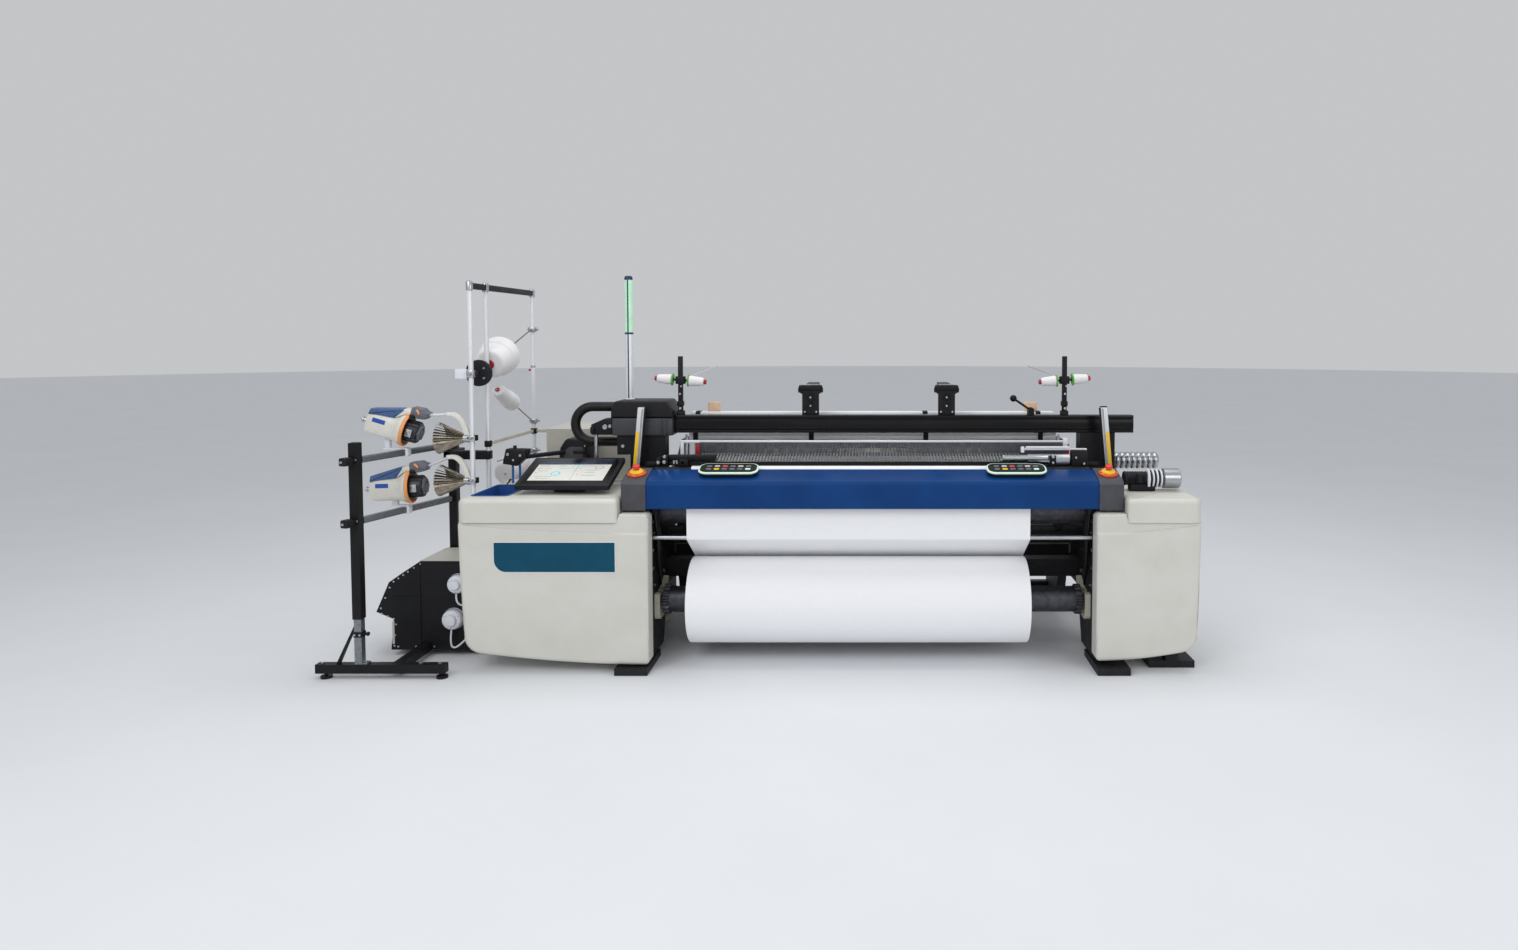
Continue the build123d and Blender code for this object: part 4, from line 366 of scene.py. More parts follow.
def slab(line, low, high, frame_axes=XY, origin=ZERO, soft=2.0, steps=4):
    """A plate: the outline carried from low to high. At each edge the outline moves in by soft (1 - sin a)
    while the height comes within soft (1 - cos a) of the end, a quarter circle."""
    angle = np.linspace(0, np.pi / 2, steps)
    inset, near = soft * (1 - np.sin(angle)), soft * (1 - np.cos(angle))
    inset = np.concatenate([inset, inset[::-1]])
    height = np.concatenate([low + near, high - near[::-1]])
    rings = np.stack([np.column_stack([inward(line, d), np.full(len(line), h)]) for d, h in zip(inset, height)])
    return loft(np.array(origin, float) + rings @ np.asarray(frame_axes, float))


def brick(x0, x1, y0, y1, z0, z1, soft=2.0):
    """A block with rounded edges, as a slab of its plan."""
    plan = outline([(x0, y0, 2 * soft), (x1, y0, 2 * soft), (x1, y1, 2 * soft), (x0, y1, 2 * soft)], 4)
    return slab(plan, z0, z1, soft=soft, steps=3)


def cut(corners, low, high, plane=XZ, soft=2.0, bends=5, steps=4):
    """A plate with rounded corners (u, v, radius), carried from low to high across its plane."""
    return slab(outline(corners, bends), low, high, plane, soft=soft, steps=steps)


def bricks(*rows):
    """Several blocks, one for each row of a brick's numbers."""
    return [brick(*row) for row in rows]


def bolts(spots, low, high, sides=12, edge=1.0):
    """Round heads along y from low to high, one for each (x, z, radius)."""
    return [rod((x, low, z), (x, high, z), radius, sides, edge) for x, z, radius in spots]


def curve(a, b, c, d, count):
    """A bent line from a to d with handles b and c: (1-t)^3 a + 3 t (1-t)^2 b + 3 t^2 (1-t) c + t^3 d."""
    t = np.linspace(0, 1, count)[:, None]
    a, b, c, d = (np.array(point, float) for point in (a, b, c, d))
    return (1 - t) ** 3 * a + 3 * t * (1 - t) ** 2 * b + 3 * t ** 2 * (1 - t) * c + t ** 3 * d


BLOCK_QUADS = np.array([[0, 3, 2, 1], [4, 5, 6, 7], [0, 1, 5, 4], [1, 2, 6, 5], [2, 3, 7, 6], [3, 0, 4, 7]])


def blocks_of(corners):
    """Many plain blocks at once from their eight corners each: an array (blocks, 8, 3)."""
    faces = np.arange(len(corners))[:, None, None] * 8 + BLOCK_QUADS
    return corners.reshape(-1, 3), faces.reshape(-1, 4).tolist()


def boxes(lows, highs):
    """Many plain blocks at once between low and high corners, for wires and other things in hundreds."""
    lows, highs = np.atleast_2d(lows).astype(float), np.atleast_2d(highs).astype(float)
    pick = np.array([[0, 0, 0], [1, 0, 0], [1, 1, 0], [0, 1, 0], [0, 0, 1], [1, 0, 1], [1, 1, 1], [0, 1, 1]])
    return blocks_of(lows[:, None] + pick[None] * (highs - lows)[:, None])


def spread(x, y, z):
    """Points at many x, all at one y and one z."""
    return np.column_stack(np.broadcast_arrays(x, y, z)).astype(float)


def wires(x, half, y0, y1, z0, z1):
    """Thin upright blocks, one about each x."""
    return boxes(spread(x - half, y0, z0), spread(x + half, y1, z1))


def together(*shapes):
    """Several shapes as one."""
    starts = np.cumsum([0] + [len(points) for points, _ in shapes])
    faces = [[int(start) + corner for corner in face] for start, (_, part) in zip(starts, shapes) for face in part]
    return np.concatenate([points for points, _ in shapes]), faces


def copies(shape, offsets):
    """The same shape at many places."""
    return together(*[(shape[0] + np.array(offset, float), shape[1]) for offset in offsets])


def mirrored(shape):
    """The shape on the other side of the loom."""
    return shape[0] * np.array([-1.0, 1, 1]), shape[1]


def hoop(section, start, direction, sides=48):
    """A closed ring: a closed section of (along, radius) pairs turned about the direction."""
    u, v, w = axes(direction)
    along, radius = np.array(section, float).T
    angle = np.linspace(0, 2 * np.pi, sides, endpoint=False)
    circle = np.cos(angle)[:, None] * u + np.sin(angle)[:, None] * v
    points = np.array(start, float) + along[None, :, None] * w + radius[None, :, None] * circle[:, None]
    columns = len(along)
    row, column = np.arange(sides)[:, None], np.arange(columns)[None, :]
    after, over = (column + 1) % columns, (row + 1) % sides
    quads = [row * columns + column, row * columns + after, over * columns + after, over * columns + column]
    return points.reshape(-1, 3), np.stack(quads, -1).reshape(-1, 4).tolist()


def piece(name, shape, finish, body="frame", stands_for=(), sharp=35, uv=None, weld=False):
    """A finished piece from a shape or a list of shapes: mesh in place, outward normals, smooth up to the sharp
    angle, riding on its body."""
    points, faces = together(*shape) if isinstance(shape, list) else shape
    mesh = bpy.data.meshes.new(name)
    mesh.from_pydata((np.asarray(points) * MM + HOME).tolist(), [], faces)
    if uv is not None:
        corner = np.empty(len(mesh.loops), np.int32)
        mesh.loops.foreach_get("vertex_index", corner)
        mesh.uv_layers.new(name="cloth").data.foreach_set("uv", np.asarray(uv, np.float32)[corner].ravel())
    work = bmesh.new()
    work.from_mesh(mesh)
    if weld:
        bmesh.ops.remove_doubles(work, verts=work.verts, dist=0.01 * MM)
    bmesh.ops.recalc_face_normals(work, faces=work.faces)
    work.to_mesh(mesh)
    work.free()
    sides = np.empty(len(mesh.polygons), np.int32)
    mesh.polygons.foreach_get("loop_total", sides)
    mesh.polygons.foreach_set("use_smooth", sides <= 4)
    mesh.set_sharp_from_angle(angle=math.radians(sharp))
    mesh.materials.append(finish)
    made = bpy.data.objects.new(name, mesh)
    bpy.context.scene.collection.objects.link(made)
    if body:
        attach(made, body)
    if stands_for:
        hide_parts(*stands_for)
    return made


print("shape functions ready")

# %% [markdown]
# The front covers are one moulding each: a soft front that swells a little, a wide round at its rim, a
# narrow round along the seam under the lid, and a shallow crease that climbs to the outer end of the seam.
# The front is a height field over a grid. Its points crowd towards the rim, where the rounds need them, and its
# rows follow the crease, so that the step stays sharp.

# %% Front covers
COVER_FRONT, COVER_SEAM, COVER_STEP, COVER_INNER, LID_INNER = -65.0, 722.0, 761.0, 1062.0, 1206.0
RIM_ROUND, SEAM_ROUND, FOOT_ROUND, INNER_ROUND, COVER_WALL, WALL_FACE = 20.0, 5.0, 70.0, 22.0, 5.0, 1128.0
CREASE_DROP, CREASE_RISE, CREASE_DEEP, CREASE_TALL, CREASE_ROWS = 58.0, 44.0, 9.0, 11.0, 8
CROWN, INNER_BACK, FRONT_DEEP = 5.0, 36.0, 32.0
LID_TOP, LID_ROUND, HOLE_POWER, TRAY_HOLE = 836.0, 24.0, 12, (-1839.0, 192.0, 87.5, 168.5)


def ease(share):
    """Smooth step: 3 s^2 - 2 s^3 between 0 and 1."""
    share = np.clip(share, 0, 1)
    return share * share * (3 - 2 * share)


def arc_drop(distance, radius):
    """How far a quarter round of this radius falls back at a distance from its edge."""
    near = np.clip(radius - distance, 0, radius)
    return radius - np.sqrt(radius ** 2 - near ** 2)


def nearest(points, line):
    """Distance from each point of a grid to the nearest point of a line, in the plane."""
    return np.sqrt(((points[:, None] - line[None]) ** 2).sum(-1)).min(1)


def moulded_front(outer, foot_outer, foot_z, inner_z, back, columns=100):
    """Front cover at high x. Each column runs from the curved bottom edge to the seam; depth = front +
    crown + the larger of the rim round and the seam round + a shallow step above the crease."""
    below, above = (1 - np.cos(np.linspace(0, 3.0, 66))) / 2, np.sin(np.linspace(0, np.pi / 2, 22))[1:]
    u = np.tile((1 - np.cos(np.linspace(0, np.pi, columns))) / 2, (len(below) + CREASE_ROWS + len(above), 1))
    x = COVER_INNER + u * (outer - COVER_INNER)
    bottom = inner_z + u ** 1.9 * (foot_z - inner_z) + arc_drop(outer - x, FOOT_ROUND)
    bottom += arc_drop(x - COVER_INNER, INNER_ROUND)
    top = COVER_SEAM + (COVER_STEP - COVER_SEAM) * ease((LID_INNER - x) / 6 + 0.5)
    top -= arc_drop(x - COVER_INNER, INNER_ROUND)
    crease = COVER_SEAM - CREASE_DROP + CREASE_RISE * u ** 1.6
    low, line, past = bottom[0], crease[0], CREASE_TALL + 0.5
    z = np.concatenate([low + below[:, None] / below[-1] * (line - 3 - low),
                        line + np.linspace(-1, past, CREASE_ROWS)[:, None],
                        line + past + above[:, None] * (top[0] - line - past)])
    v = (z - bottom) / (top - bottom)
    side = foot_outer + (outer - foot_outer) * np.clip((z - foot_z) / (COVER_SEAM - foot_z), 0, 1)
    x = COVER_INNER + u * (side - COVER_INNER)
    plan = np.stack([x, z], -1)
    rim = np.concatenate([plan[0], plan[:, -1], plan[:, 0]])
    flat = plan.reshape(-1, 2)
    fall = np.maximum(arc_drop(nearest(flat, rim), RIM_ROUND), arc_drop(nearest(flat, plan[-1]), SEAM_ROUND))
    crown = CROWN * (1 - (1 - (2 * u - 1) ** 2) * (1 - (2 * v - 1) ** 2))
    step = CREASE_DEEP * ease((z - crease) / CREASE_TALL)
    y = COVER_FRONT + crown + step + fall.reshape(z.shape)
    face = np.stack([x, y, z], -1)
    edge = np.concatenate([face[0, :-1], face[:-1, -1], face[-1, :0:-1], face[:0:-1, 0]])
    inset = inward(edge[:, [0, 2]], COVER_WALL)
    behind = np.where(edge[:, 0] < WALL_FACE, INNER_BACK, back)
    rings = np.stack([edge, np.column_stack([edge[:, 0], behind, edge[:, 2]]),
                      np.column_stack([inset[:, 0], behind, inset[:, 1]]),
                      np.column_stack([inset[:, 0], np.full(len(edge), COVER_FRONT + FRONT_DEEP), inset[:, 1]])])
    points, faces = loft(rings, capped=False)
    faces.append(list(range(3 * len(edge), 4 * len(edge))))
    return together((face.reshape(-1, 3), grid_faces(len(z), columns, ring=False)), (points, faces))


left_cover = mirrored(moulded_front(1962.0, 1936.0, 104.0, 40.0, 795.0))
right_cover = moulded_front(1557.0, 1540.0, 112.0, 58.0, 555.0, columns=80)
piece("left_cover_moulding", left_cover, cover_grey, stands_for=["left_front_cover"], weld=True)
piece("right_cover_moulding", right_cover, cover_grey, stands_for=["right_front_cover"], weld=True)


def lid_moulding(x0, x1, back, corner, hole=None):
    """A lid: the plan carried up from the seam, its top edge a quarter circle. With a hole the top runs along
    rays from the hole's middle: the hole's edge lies at (|cos|^n / a^n + |sin|^n / b^n)^(-1/n) on each ray."""
    plan = outline([(x0, COVER_FRONT, corner), (x1, COVER_FRONT, INNER_ROUND), (x1, back, 12), (x0, back, 12)], 12)
    stops = np.linspace(0, 1, 24, endpoint=False)
    plan = np.concatenate([a + (b - a) * stops[:, None] if np.linalg.norm(b - a) > 40 else a[None]
                           for a, b in zip(plan, np.roll(plan, -1, 0))])
    turn = np.linspace(0, np.pi / 2, 8)
    inset = np.concatenate([[2.5, 0], LID_ROUND * (1 - np.cos(turn))])
    height = np.concatenate([[COVER_SEAM + 0.5, COVER_SEAM + 3], LID_TOP - LID_ROUND + LID_ROUND * np.sin(turn)])
    rings = [np.column_stack([inward(plan, d), np.full(len(plan), h)]) for d, h in zip(inset, height)]
    inner = inward(plan, 2 * COVER_WALL)
    if hole is not None:
        middle, half = np.array(hole[:2]), np.array(hole[2:])
        ray = unit(rings[-1][:, :2] - middle)
        rim = middle + ray * ((np.abs(ray / half) ** HOLE_POWER).sum(1) ** (-1 / HOLE_POWER))[:, None]
        rings += [np.column_stack([rim, np.full(len(rim), h)]) for h in (LID_TOP, LID_TOP - 8)]
        rings += [np.column_stack([inner, np.full(len(inner), h)]) for h in (LID_TOP - 8, COVER_SEAM + 0.5)]
        rings.append(rings[0])
    return loft(np.stack(rings), capped=hole is None)


left_lid = lid_moulding(-1962.0, -LID_INNER, 600.0, 44.0, TRAY_HOLE)
piece("left_lid_moulding", left_lid, cover_grey, stands_for=["left_top_lid"])
right_lid = mirrored(lid_moulding(-1557.0, -LID_INNER, 255.0, 40.0))
piece("right_lid_moulding", right_lid, cover_grey, stands_for=["right_top_lid"])
plate = [(-1788.0, 488.0, 60.0), (-1212.0, 488.0, 2.0), (-1212.0, 634.0, 2.0), (-1788.0, 634.0, 2.0)]
piece("plate_border", cut(plate, -67.0, -56.0, soft=0.6, bends=10), plate_edge)
field = [(-1785.0, 491.0, 57.0), (-1215.0, 491.0, 1.5), (-1215.0, 631.0, 1.5), (-1785.0, 631.0, 1.5)]
piece("plate_field", cut(field, -67.8, -58.0, soft=0.4, bends=10), plate_teal)
print("covers made")

# %% [markdown]
# The breast beam is a folded and enamelled sheet: one profile with small bend radii, carried along x.

# %% Breast beam
beam_fold = [(0, 778, 1), (0, 894, 7), (14, 911, 7), (150, 949, 4), (150, 884, 1), (146, 884, 1), (146, 943, 1),
             (15, 906, 3), (5, 892, 3), (5, 778, 1)]
piece("beam_sheet", cut(beam_fold, -1083.0, 1083.0, YZ, soft=0.6), beam_blue, stands_for=["breast_beam"], sharp=20)
print("breast beam made")

# %% [markdown]
# Things that stand on the beam's sloping top share one set of axes: x, up the slope, and out of the sheet.

# %% Emergency stops and key panels
TOP_Y, TOP_Z, TOP_DEEP, TOP_RISE = 14.0, 911.0, 136.0, 38.0


def tilted(angle):
    """Axes of a face that leans back by an angle: x, up its slope, and out of it."""
    return np.array([[1, 0, 0], [0, math.cos(angle), math.sin(angle)], [0, -math.sin(angle), math.cos(angle)]])


TOP_AXES = tilted(math.atan2(TOP_RISE, TOP_DEEP))


def on_beam(x, share, proud=0.0):
    """A point on the beam's top at a share of its slope, moved out of the sheet."""
    return np.array([x, TOP_Y + TOP_DEEP * share, TOP_Z + TOP_RISE * share]) + TOP_AXES[2] * proud


rings, collars, marks = [], [], []
for side, hand in ((-1, "left"), (1, "right")):
    foot = on_beam(side * 1143.0, 0.5, 5.0)
    rings.append(turned([(0, 45), (2, 46), (7, 46), (10.5, 43.5), (12, 40), (12, 30)], foot, TOP_AXES[2], 48))
    collars.append(turned([(10, 33), (14, 33.5), (17, 32), (20.5, 26), (23.5, 23.5), (24, 22), (24, 12)], foot,
                          TOP_AXES[2], 48))
    around = np.linspace(0, 2 * np.pi, 8, endpoint=False) + 0.2
    spots = foot + 38.5 * (np.cos(around)[:, None] * TOP_AXES[0] + np.sin(around)[:, None] * TOP_AXES[1])
    marks.append(copies(turned([(10, 3.2), (12.6, 3.0)], ZERO, TOP_AXES[2], 10), spots))
    head = [(19, 10.5), (30.6, 10.5), (31.5, 16.5), (33, 18), (41, 18), (45, 15.5), (46.4, 10), (46.5, 3)]
    piece(hand + "_stop_head", turned(head, foot, TOP_AXES[2], 40), stop_red, hand + "_stop", [hand + "_stop_button"])
piece("stop_rings", rings, stop_orange, stands_for=["stop_switches"])
piece("stop_collars", collars, stop_yellow, stands_for=["stop_switches"])
piece("stop_marks", marks, black_abs)


def pill(length, depth, corner):
    """A rectangle with round ends about zero."""
    a, b = length / 2, depth / 2
    return outline([(-a, -b, corner), (a, -b, corner), (a, b, corner), (-a, b, corner)], 10)


key_tones = {stop_yellow: [1], head_grey: [0, 2, 3, 4, 6, 9, 11], cabinet_grey: [7, 10], rim_green: [5],
             stop_red: [8]}
key_spots = [(-95 + 38 * column, row) for row in (-16, 18) for column in range(6)]
pads, lit, decks = [], [], []
keys = {finish: [] for finish in key_tones}
for side in (-1, 1):
    spot = on_beam(side * 700.0, 0.66)
    pads.append(slab(pill(283, 109, 40), -1.0, 19.0, TOP_AXES, spot, soft=5))
    lit.append(slab(pill(292, 118, 44), 17.0, 27.0, TOP_AXES, spot, soft=4.5))
    decks.append(slab(pill(276, 102, 37), 19.0, 28.0, TOP_AXES, spot, soft=1.0))
    for finish, chosen in key_tones.items():
        for index in chosen:
            u, v = key_spots[index]
            place = spot + u * TOP_AXES[0] + v * TOP_AXES[1]
            keys[finish].append(slab(pill(26, 17, 5), 27.0, 30.0, TOP_AXES, place, soft=1.4, steps=3))
piece("keypad_bodies", pads, black_abs, stands_for=["keypads"])
piece("keypad_rims", lit, rim_green, stands_for=["keypads"])
piece("keypad_decks", decks, black_gloss, stands_for=["keypads"])
for finish, shapes in keys.items():
    piece("keys_" + finish.name, shapes, finish)
print("stops and key panels made")

# %% [markdown]
# The touch screen: a black case, a dark glass and a lit panel with a plain layout of bars, a ring and dots.
# The layout is real geometry a third of a millimetre high, so it survives the export.

# %% Touch screen
SCREEN, SCREEN_AXES = np.array([-1502.0, 214.0, 918.0]), tilted(math.radians(17.0))


def screen_spot(u, v):
    """A point u across and v up the screen's face."""
    return SCREEN + u * SCREEN_AXES[0] + v * SCREEN_AXES[1]


def on_screen(line, low, high, soft=0.1, u=0.0, v=0.0):
    """A slab on the screen's axes, moved by u and v across its face."""
    return slab(line, low, high, SCREEN_AXES, screen_spot(u, v), soft=soft, steps=3)


panel_lit = coat("lit_screen_pale", "#D9D9D2", "#D2D3CB", 0.30, 200, 2.0, 0.0,
                 glow=("#D9D9D2", 0.06))
panel_navy = coat("lit_screen_navy", "#1B3557", "#16304F", 0.22, 200, 2.0, 0.0)
panel_teal = coat("lit_screen_teal", "#4CC3D9", "#43BBD2", 0.22, 200, 2.0, 0.0,
                  glow=("#4CC3D9", 0.2))
panel_grey = coat("lit_screen_grey", "#8F979B", "#878F93", 0.22, 200, 2.0, 0.0)
case = on_screen(outline([(-231, -165, 14), (231, -165, 14), (231, 165, 14), (-231, 165, 14)], 8), -13, 13, 5.0)
ear = on_screen(pill(91, 18, 3), -46, -12, 1.0)
piece("screen_case", [case, ear], black_abs, "display", ["display_housing"])
piece("screen_glass", on_screen(pill(424, 292, 5), 12.0, 13.4, 0.5), black_gloss, "display", ["display_screen"])
piece("screen_panel", on_screen(pill(368, 184, 2), 13.2, 13.8, v=-17), panel_lit, "display")
piece("screen_header", on_screen(pill(368, 22, 1), 13.4, 14.1, v=86), panel_navy, "display")
bars = [(-150, 58, 50, 4), (-60, 58, 40, 4), (70, 58, 70, 4), (-140, 30, 70, 3), (-40, 30, 50, 3), (96, 10, 60, 3),
        (-140, 0, 50, 3), (96, -16, 50, 3), (-120, -66, 80, 3), (96, -52, 70, 3), (-120, -86, 60, 3)]
lines = [on_screen(pill(w, h, 1), 13.6, 14.0, u=u, v=v) for u, v, w, h in bars]
lines += [on_screen(pill(1.6, 160, 0.5), 13.6, 14.0, u=20, v=-20)]


def dial(u, v, radius, wide):
    """A flat ring on the screen."""
    section = [(13.6, radius - wide), (14.0, radius - wide), (14.0, radius), (13.6, radius)]
    return hoop(section, screen_spot(u, v), SCREEN_AXES[2])


piece("screen_lines", [*lines, dial(130, 42, 20, 3)], panel_grey, "display")
piece("screen_tabs", [on_screen(pill(30, 5, 1), 13.6, 14.2, u=10, v=70), dial(-70, -30, 24, 6)], panel_teal,
      "display")
dots = [(40, 30), (40, -40), (-170, 20), (-170, -20)]
piece("screen_dots", [on_screen(pill(7, 7, 3.4), 13.6, 14.2, u=u, v=v) for u, v in dots], stop_orange, "display")
print("screen made")

# %% [markdown]
# The hose loop carries the harness cables from the black hood down to its socket. Its radius swells and
# shrinks every 10 mm, as a ribbed conduit does.

# %% Hose loop, signal lamp and light posts
HOSE_Y, HOSE_HIGH, HOSE_LOW, HOSE_BEND = 540.0, 1228.0, 1042.0, -1487.0
middle, reach_out = (HOSE_HIGH + HOSE_LOW) / 2, (HOSE_HIGH - HOSE_LOW) / 2
sweep_angle = np.linspace(np.pi / 2, 3 * np.pi / 2, 100)
hose_x = np.concatenate([np.linspace(-1350, HOSE_BEND, 50)[:-1], HOSE_BEND + reach_out * np.cos(sweep_angle),
                         np.linspace(HOSE_BEND, -1326, 60)[1:]])
hose_z = np.concatenate([np.full(49, HOSE_HIGH), middle + reach_out * np.sin(sweep_angle), np.full(59, HOSE_LOW)])
hose_path = np.column_stack([hose_x, np.full(len(hose_x), HOSE_Y), hose_z])
hose_run = np.concatenate([[0], np.cumsum(np.linalg.norm(np.diff(hose_path, axis=0), axis=1))])
piece("hose_ribbed", swept(hose_path, 25.3 + 0.7 * np.sin(2 * np.pi * hose_run / 10.0), 28), rubber,
      stands_for=["cable_hose"], sharp=60)
LAMP = np.array([-1295.0, 560.0, 0.0])
piece("lamp_mast", turned([(1262, 26), (1270, 26), (1272, 21), (1617, 21)], LAMP, UP, 32), aluminium,
      stands_for=["signal_lamp"])
lens_ribs = [(1617 + 285 * k / 30, 20.6 - 0.5 * (k % 2)) for k in range(31)]
piece("lamp_lens", turned(lens_ribs, LAMP, UP, 32), lamp_green, stands_for=["signal_lamp"])
piece("lamp_cap", turned([(1900, 21.5), (1912, 21.5), (1918, 19), (1921, 13), (1922, 5)], LAMP, UP, 32),
      lamp_navy, stands_for=["signal_lamp"])
band = rod(LAMP + (0, 0, 1612), LAMP + (0, 0, 1622), 22.5)
piece("lamp_stripe", [boxes([(-1298, 537.6, 1272)], [(-1292, 541, 1902)]), band], lamp_navy)
POST_X, POST_FOOT, POST_LEAN = 1216.0, 898.0, -32.0 / 344.0


def leaning(shape, side):
    """A shape drawn upright at the foot of a light post, sheared to its lean: x grows with height."""
    points = shape[0].copy()
    points[:, 0] = side * (points[:, 0] + POST_X + POST_LEAN * (points[:, 2] - POST_FOOT))
    return points, shape[1]


bars_up, strips, feet, groove_shade_strips = [], [], [], []
for side in (-1, 1):
    bars_up.append(leaning(brick(-17, 17, 345, 367, 890, 1240, 2.0), side))
    strips.append(leaning(brick(-2, 15.5, 343.6, 347, 905, 1112, 0.6), side))
    # The grooves of the posts are not cut: thin dark strips stand proud of the face as painted shade in their place.
    groove_shade_strips.append(leaning(boxes([(-12, 344.4, 905), (-7, 344.4, 905)], [(-10, 346, 1232), (-5, 346, 1232)]), side))
    feet += [leaning(part, side) for part in bricks((-20, 20, 340, 372, 880, 902, 3.0),
             (-24, -17, 347, 366, 930, 1236, 2.0), (-17.5, 17.5, 344.5, 367.5, 1238, 1244, 1.5))]
    near, far = sorted((side * 1075, side * 1236))
    feet.append(boxes([(near, 345, 874)], [(far, 367, 890)]))
post_grey = coat("brushed_aluminium_grey", "#D6D8DB", "#C4C6CA", 0.40, 24, 1.0, 0.03, 0.3,
                 stretch=(1.0, 1.0, 0.08))
piece("light_post_bars", bars_up, post_grey, stands_for=["light_posts"])
piece("light_post_strips", strips, stop_yellow)
# Painted shade: dark strips where the posts' grooves would lie in shade.
piece("light_post_groove_shade", groove_shade_strips, dark_steel)
piece("light_post_feet", feet, black_abs, stands_for=["light_posts"])
print("hose, lamp and light posts made")

# %% [markdown]
# Selvedge bobbins: small packages of white yarn on a green flanged tube with a red tip, on pegs that cross a
# black post at each end of the top beam.

# %% Selvedge bobbins
PEG_Y, PEG_Z, PEG_REACH, PEG_RISE = 475.0, 1372.0, 156.0, 12.0
yarns, flanges, tips, posts, bright = [], [], [], [], []
for side in (-1, 1):
    x = side * 1006.0
    posts += bricks((x - 12, x + 12, 463, 487, 1178, 1497, 1.5), (x - 20, x + 20, 456, 494, 1180, 1212, 3),
                    (x - 17, x + 17, 459, 491, 1236, 1262, 3), (x - 26, x + 26, 460, 492, 1352, 1392, 4))
    bright += bolts([(x, 1224, 7)], 452, 462) + bolts([(x, 1300, 6), (x + 6, 1340, 5)], 452, 464)
    posts += bolts([(x, 1480, 3.5)], 462.5, 464, edge=0.3)
    for way in (-1, 1):
        start = np.array([x, PEG_Y, PEG_Z])
        along = unit([way * PEG_REACH, 0, PEG_RISE * way * side])
        body_profile = [(44, 8), (44, 25), (47, 27), (60, 26.6), (112, 22), (119, 20), (122, 16), (122, 8)]
        yarns.append(turned(body_profile, start, along, 32))
        flanges.append(turned([(36, 10), (38, 30), (40, 32), (44, 32), (46, 29), (46, 10)], start, along, 32))
        tips.append(turned([(121, 9), (123, 13), (132, 13), (135, 11), (136, 6)], start, along, 24))
        posts.append(turned([(0, 6), (36, 6), (36, 14), (38, 14), (38, 4.6), (134, 4.6)], start, along, 16))
    bright.append(rod((x + side * -20, 470, 1380), (x + side * -190, 500, 1446), 1.6, 8, 0.2))
key_green = coat("moulded_pp_green", "#57B035", "#4AA22C", 0.4, 30, 1.0, 0.03)
tip_red = coat("moulded_pp_red", "#A81A1E", "#971318", 0.4, 30, 1.0, 0.03)
piece("bobbin_yarn", yarns, wound_yarn, stands_for=["yarn_packages"])
piece("bobbin_flanges", flanges, key_green)
piece("bobbin_tips", tips, tip_red)
piece("bobbin_stands", posts, black_coat, stands_for=["bobbin_posts"])
piece("bobbin_fittings", bright, steel)
print("bobbins made")

# %% [markdown]
# Heald frames: aluminium rails with a groove, end stiles, and hundreds of upright healds. The real healds are
# a few millimetres apart; here one in two is drawn, so that they still show as separate wires.

# %% Heald frames
HEALD_FIRST, HEALD_STEP, HEALD_DEEP, HEALD_TALL, HEALD_HALF = 556.0, 38.0, 22.0, 470.0, 980.0
RAIL_TALL, HEALD_WIRES = 43.0, 240
HEALD_TOP = (1092.0, 1092.0, 1192.0, 1192.0)
wire_grey = coat("flat_steel_healds", "#8D8F93", "#6F7176", 0.38, 20, 1.0, 0.02, 0.9)
for index in range(4):
    y = HEALD_FIRST + index * HEALD_STEP
    top, low = HEALD_TOP[index], HEALD_TOP[index] - HEALD_TALL
    body = f"heald_{index + 1}"
    rail = outline([(y, 0, 1.5), (y + HEALD_DEEP, 0, 1.5), (y + HEALD_DEEP, RAIL_TALL, 1.5), (y, RAIL_TALL, 1.5),
                    (y, 27, 0.6), (y + 3, 27, 0.6), (y + 3, 17, 0.6), (y, 17, 0.6)], 3)
    rails = [slab(rail + np.array([0, lift]), -HEALD_HALF, HEALD_HALF, YZ, soft=0.5)
             for lift in (low, top - RAIL_TALL)]
    stiles = [brick(side * 965 - 15, side * 965 + 15, y + 1, y + 21, low + 2, top - 2, 2.0) for side in (-1, 1)]
    # The rails take the paler aluminium, painted light against the top beam's shade.
    piece(f"heald_rails_{index + 1}", rails + stiles, aluminium_painted_bright, body, [f"heald_frame_{index + 1}"])
    healds = wires(np.linspace(-940, 940, HEALD_WIRES), 0.9, y + 9, y + 13, low + 40, top - 40)
    piece(f"heald_wires_{index + 1}", healds, wire_grey, body)
    clips = [brick(cx - 14, cx + 14, y - 2, y + 24, top - 46, top + 3, 2.0) for cx in (-945, -327, 285, 897)]
    piece(f"heald_clips_{index + 1}", clips, black_abs, body)
blocks = [brick(x - 34, x + 34, 670, 692, 1192, 1242, 2.0) for x in (-864, 864)]
piece("heald_blocks", blocks, beech, "heald_4", ["heald_frame_4"])
print("heald frames made")

# %% [markdown]
# The reed is a comb of thin dents between two baulks. Its real pitch is about a millimetre and would turn to
# an even grey, so the dents are drawn 4 mm apart. It swings with the sley.

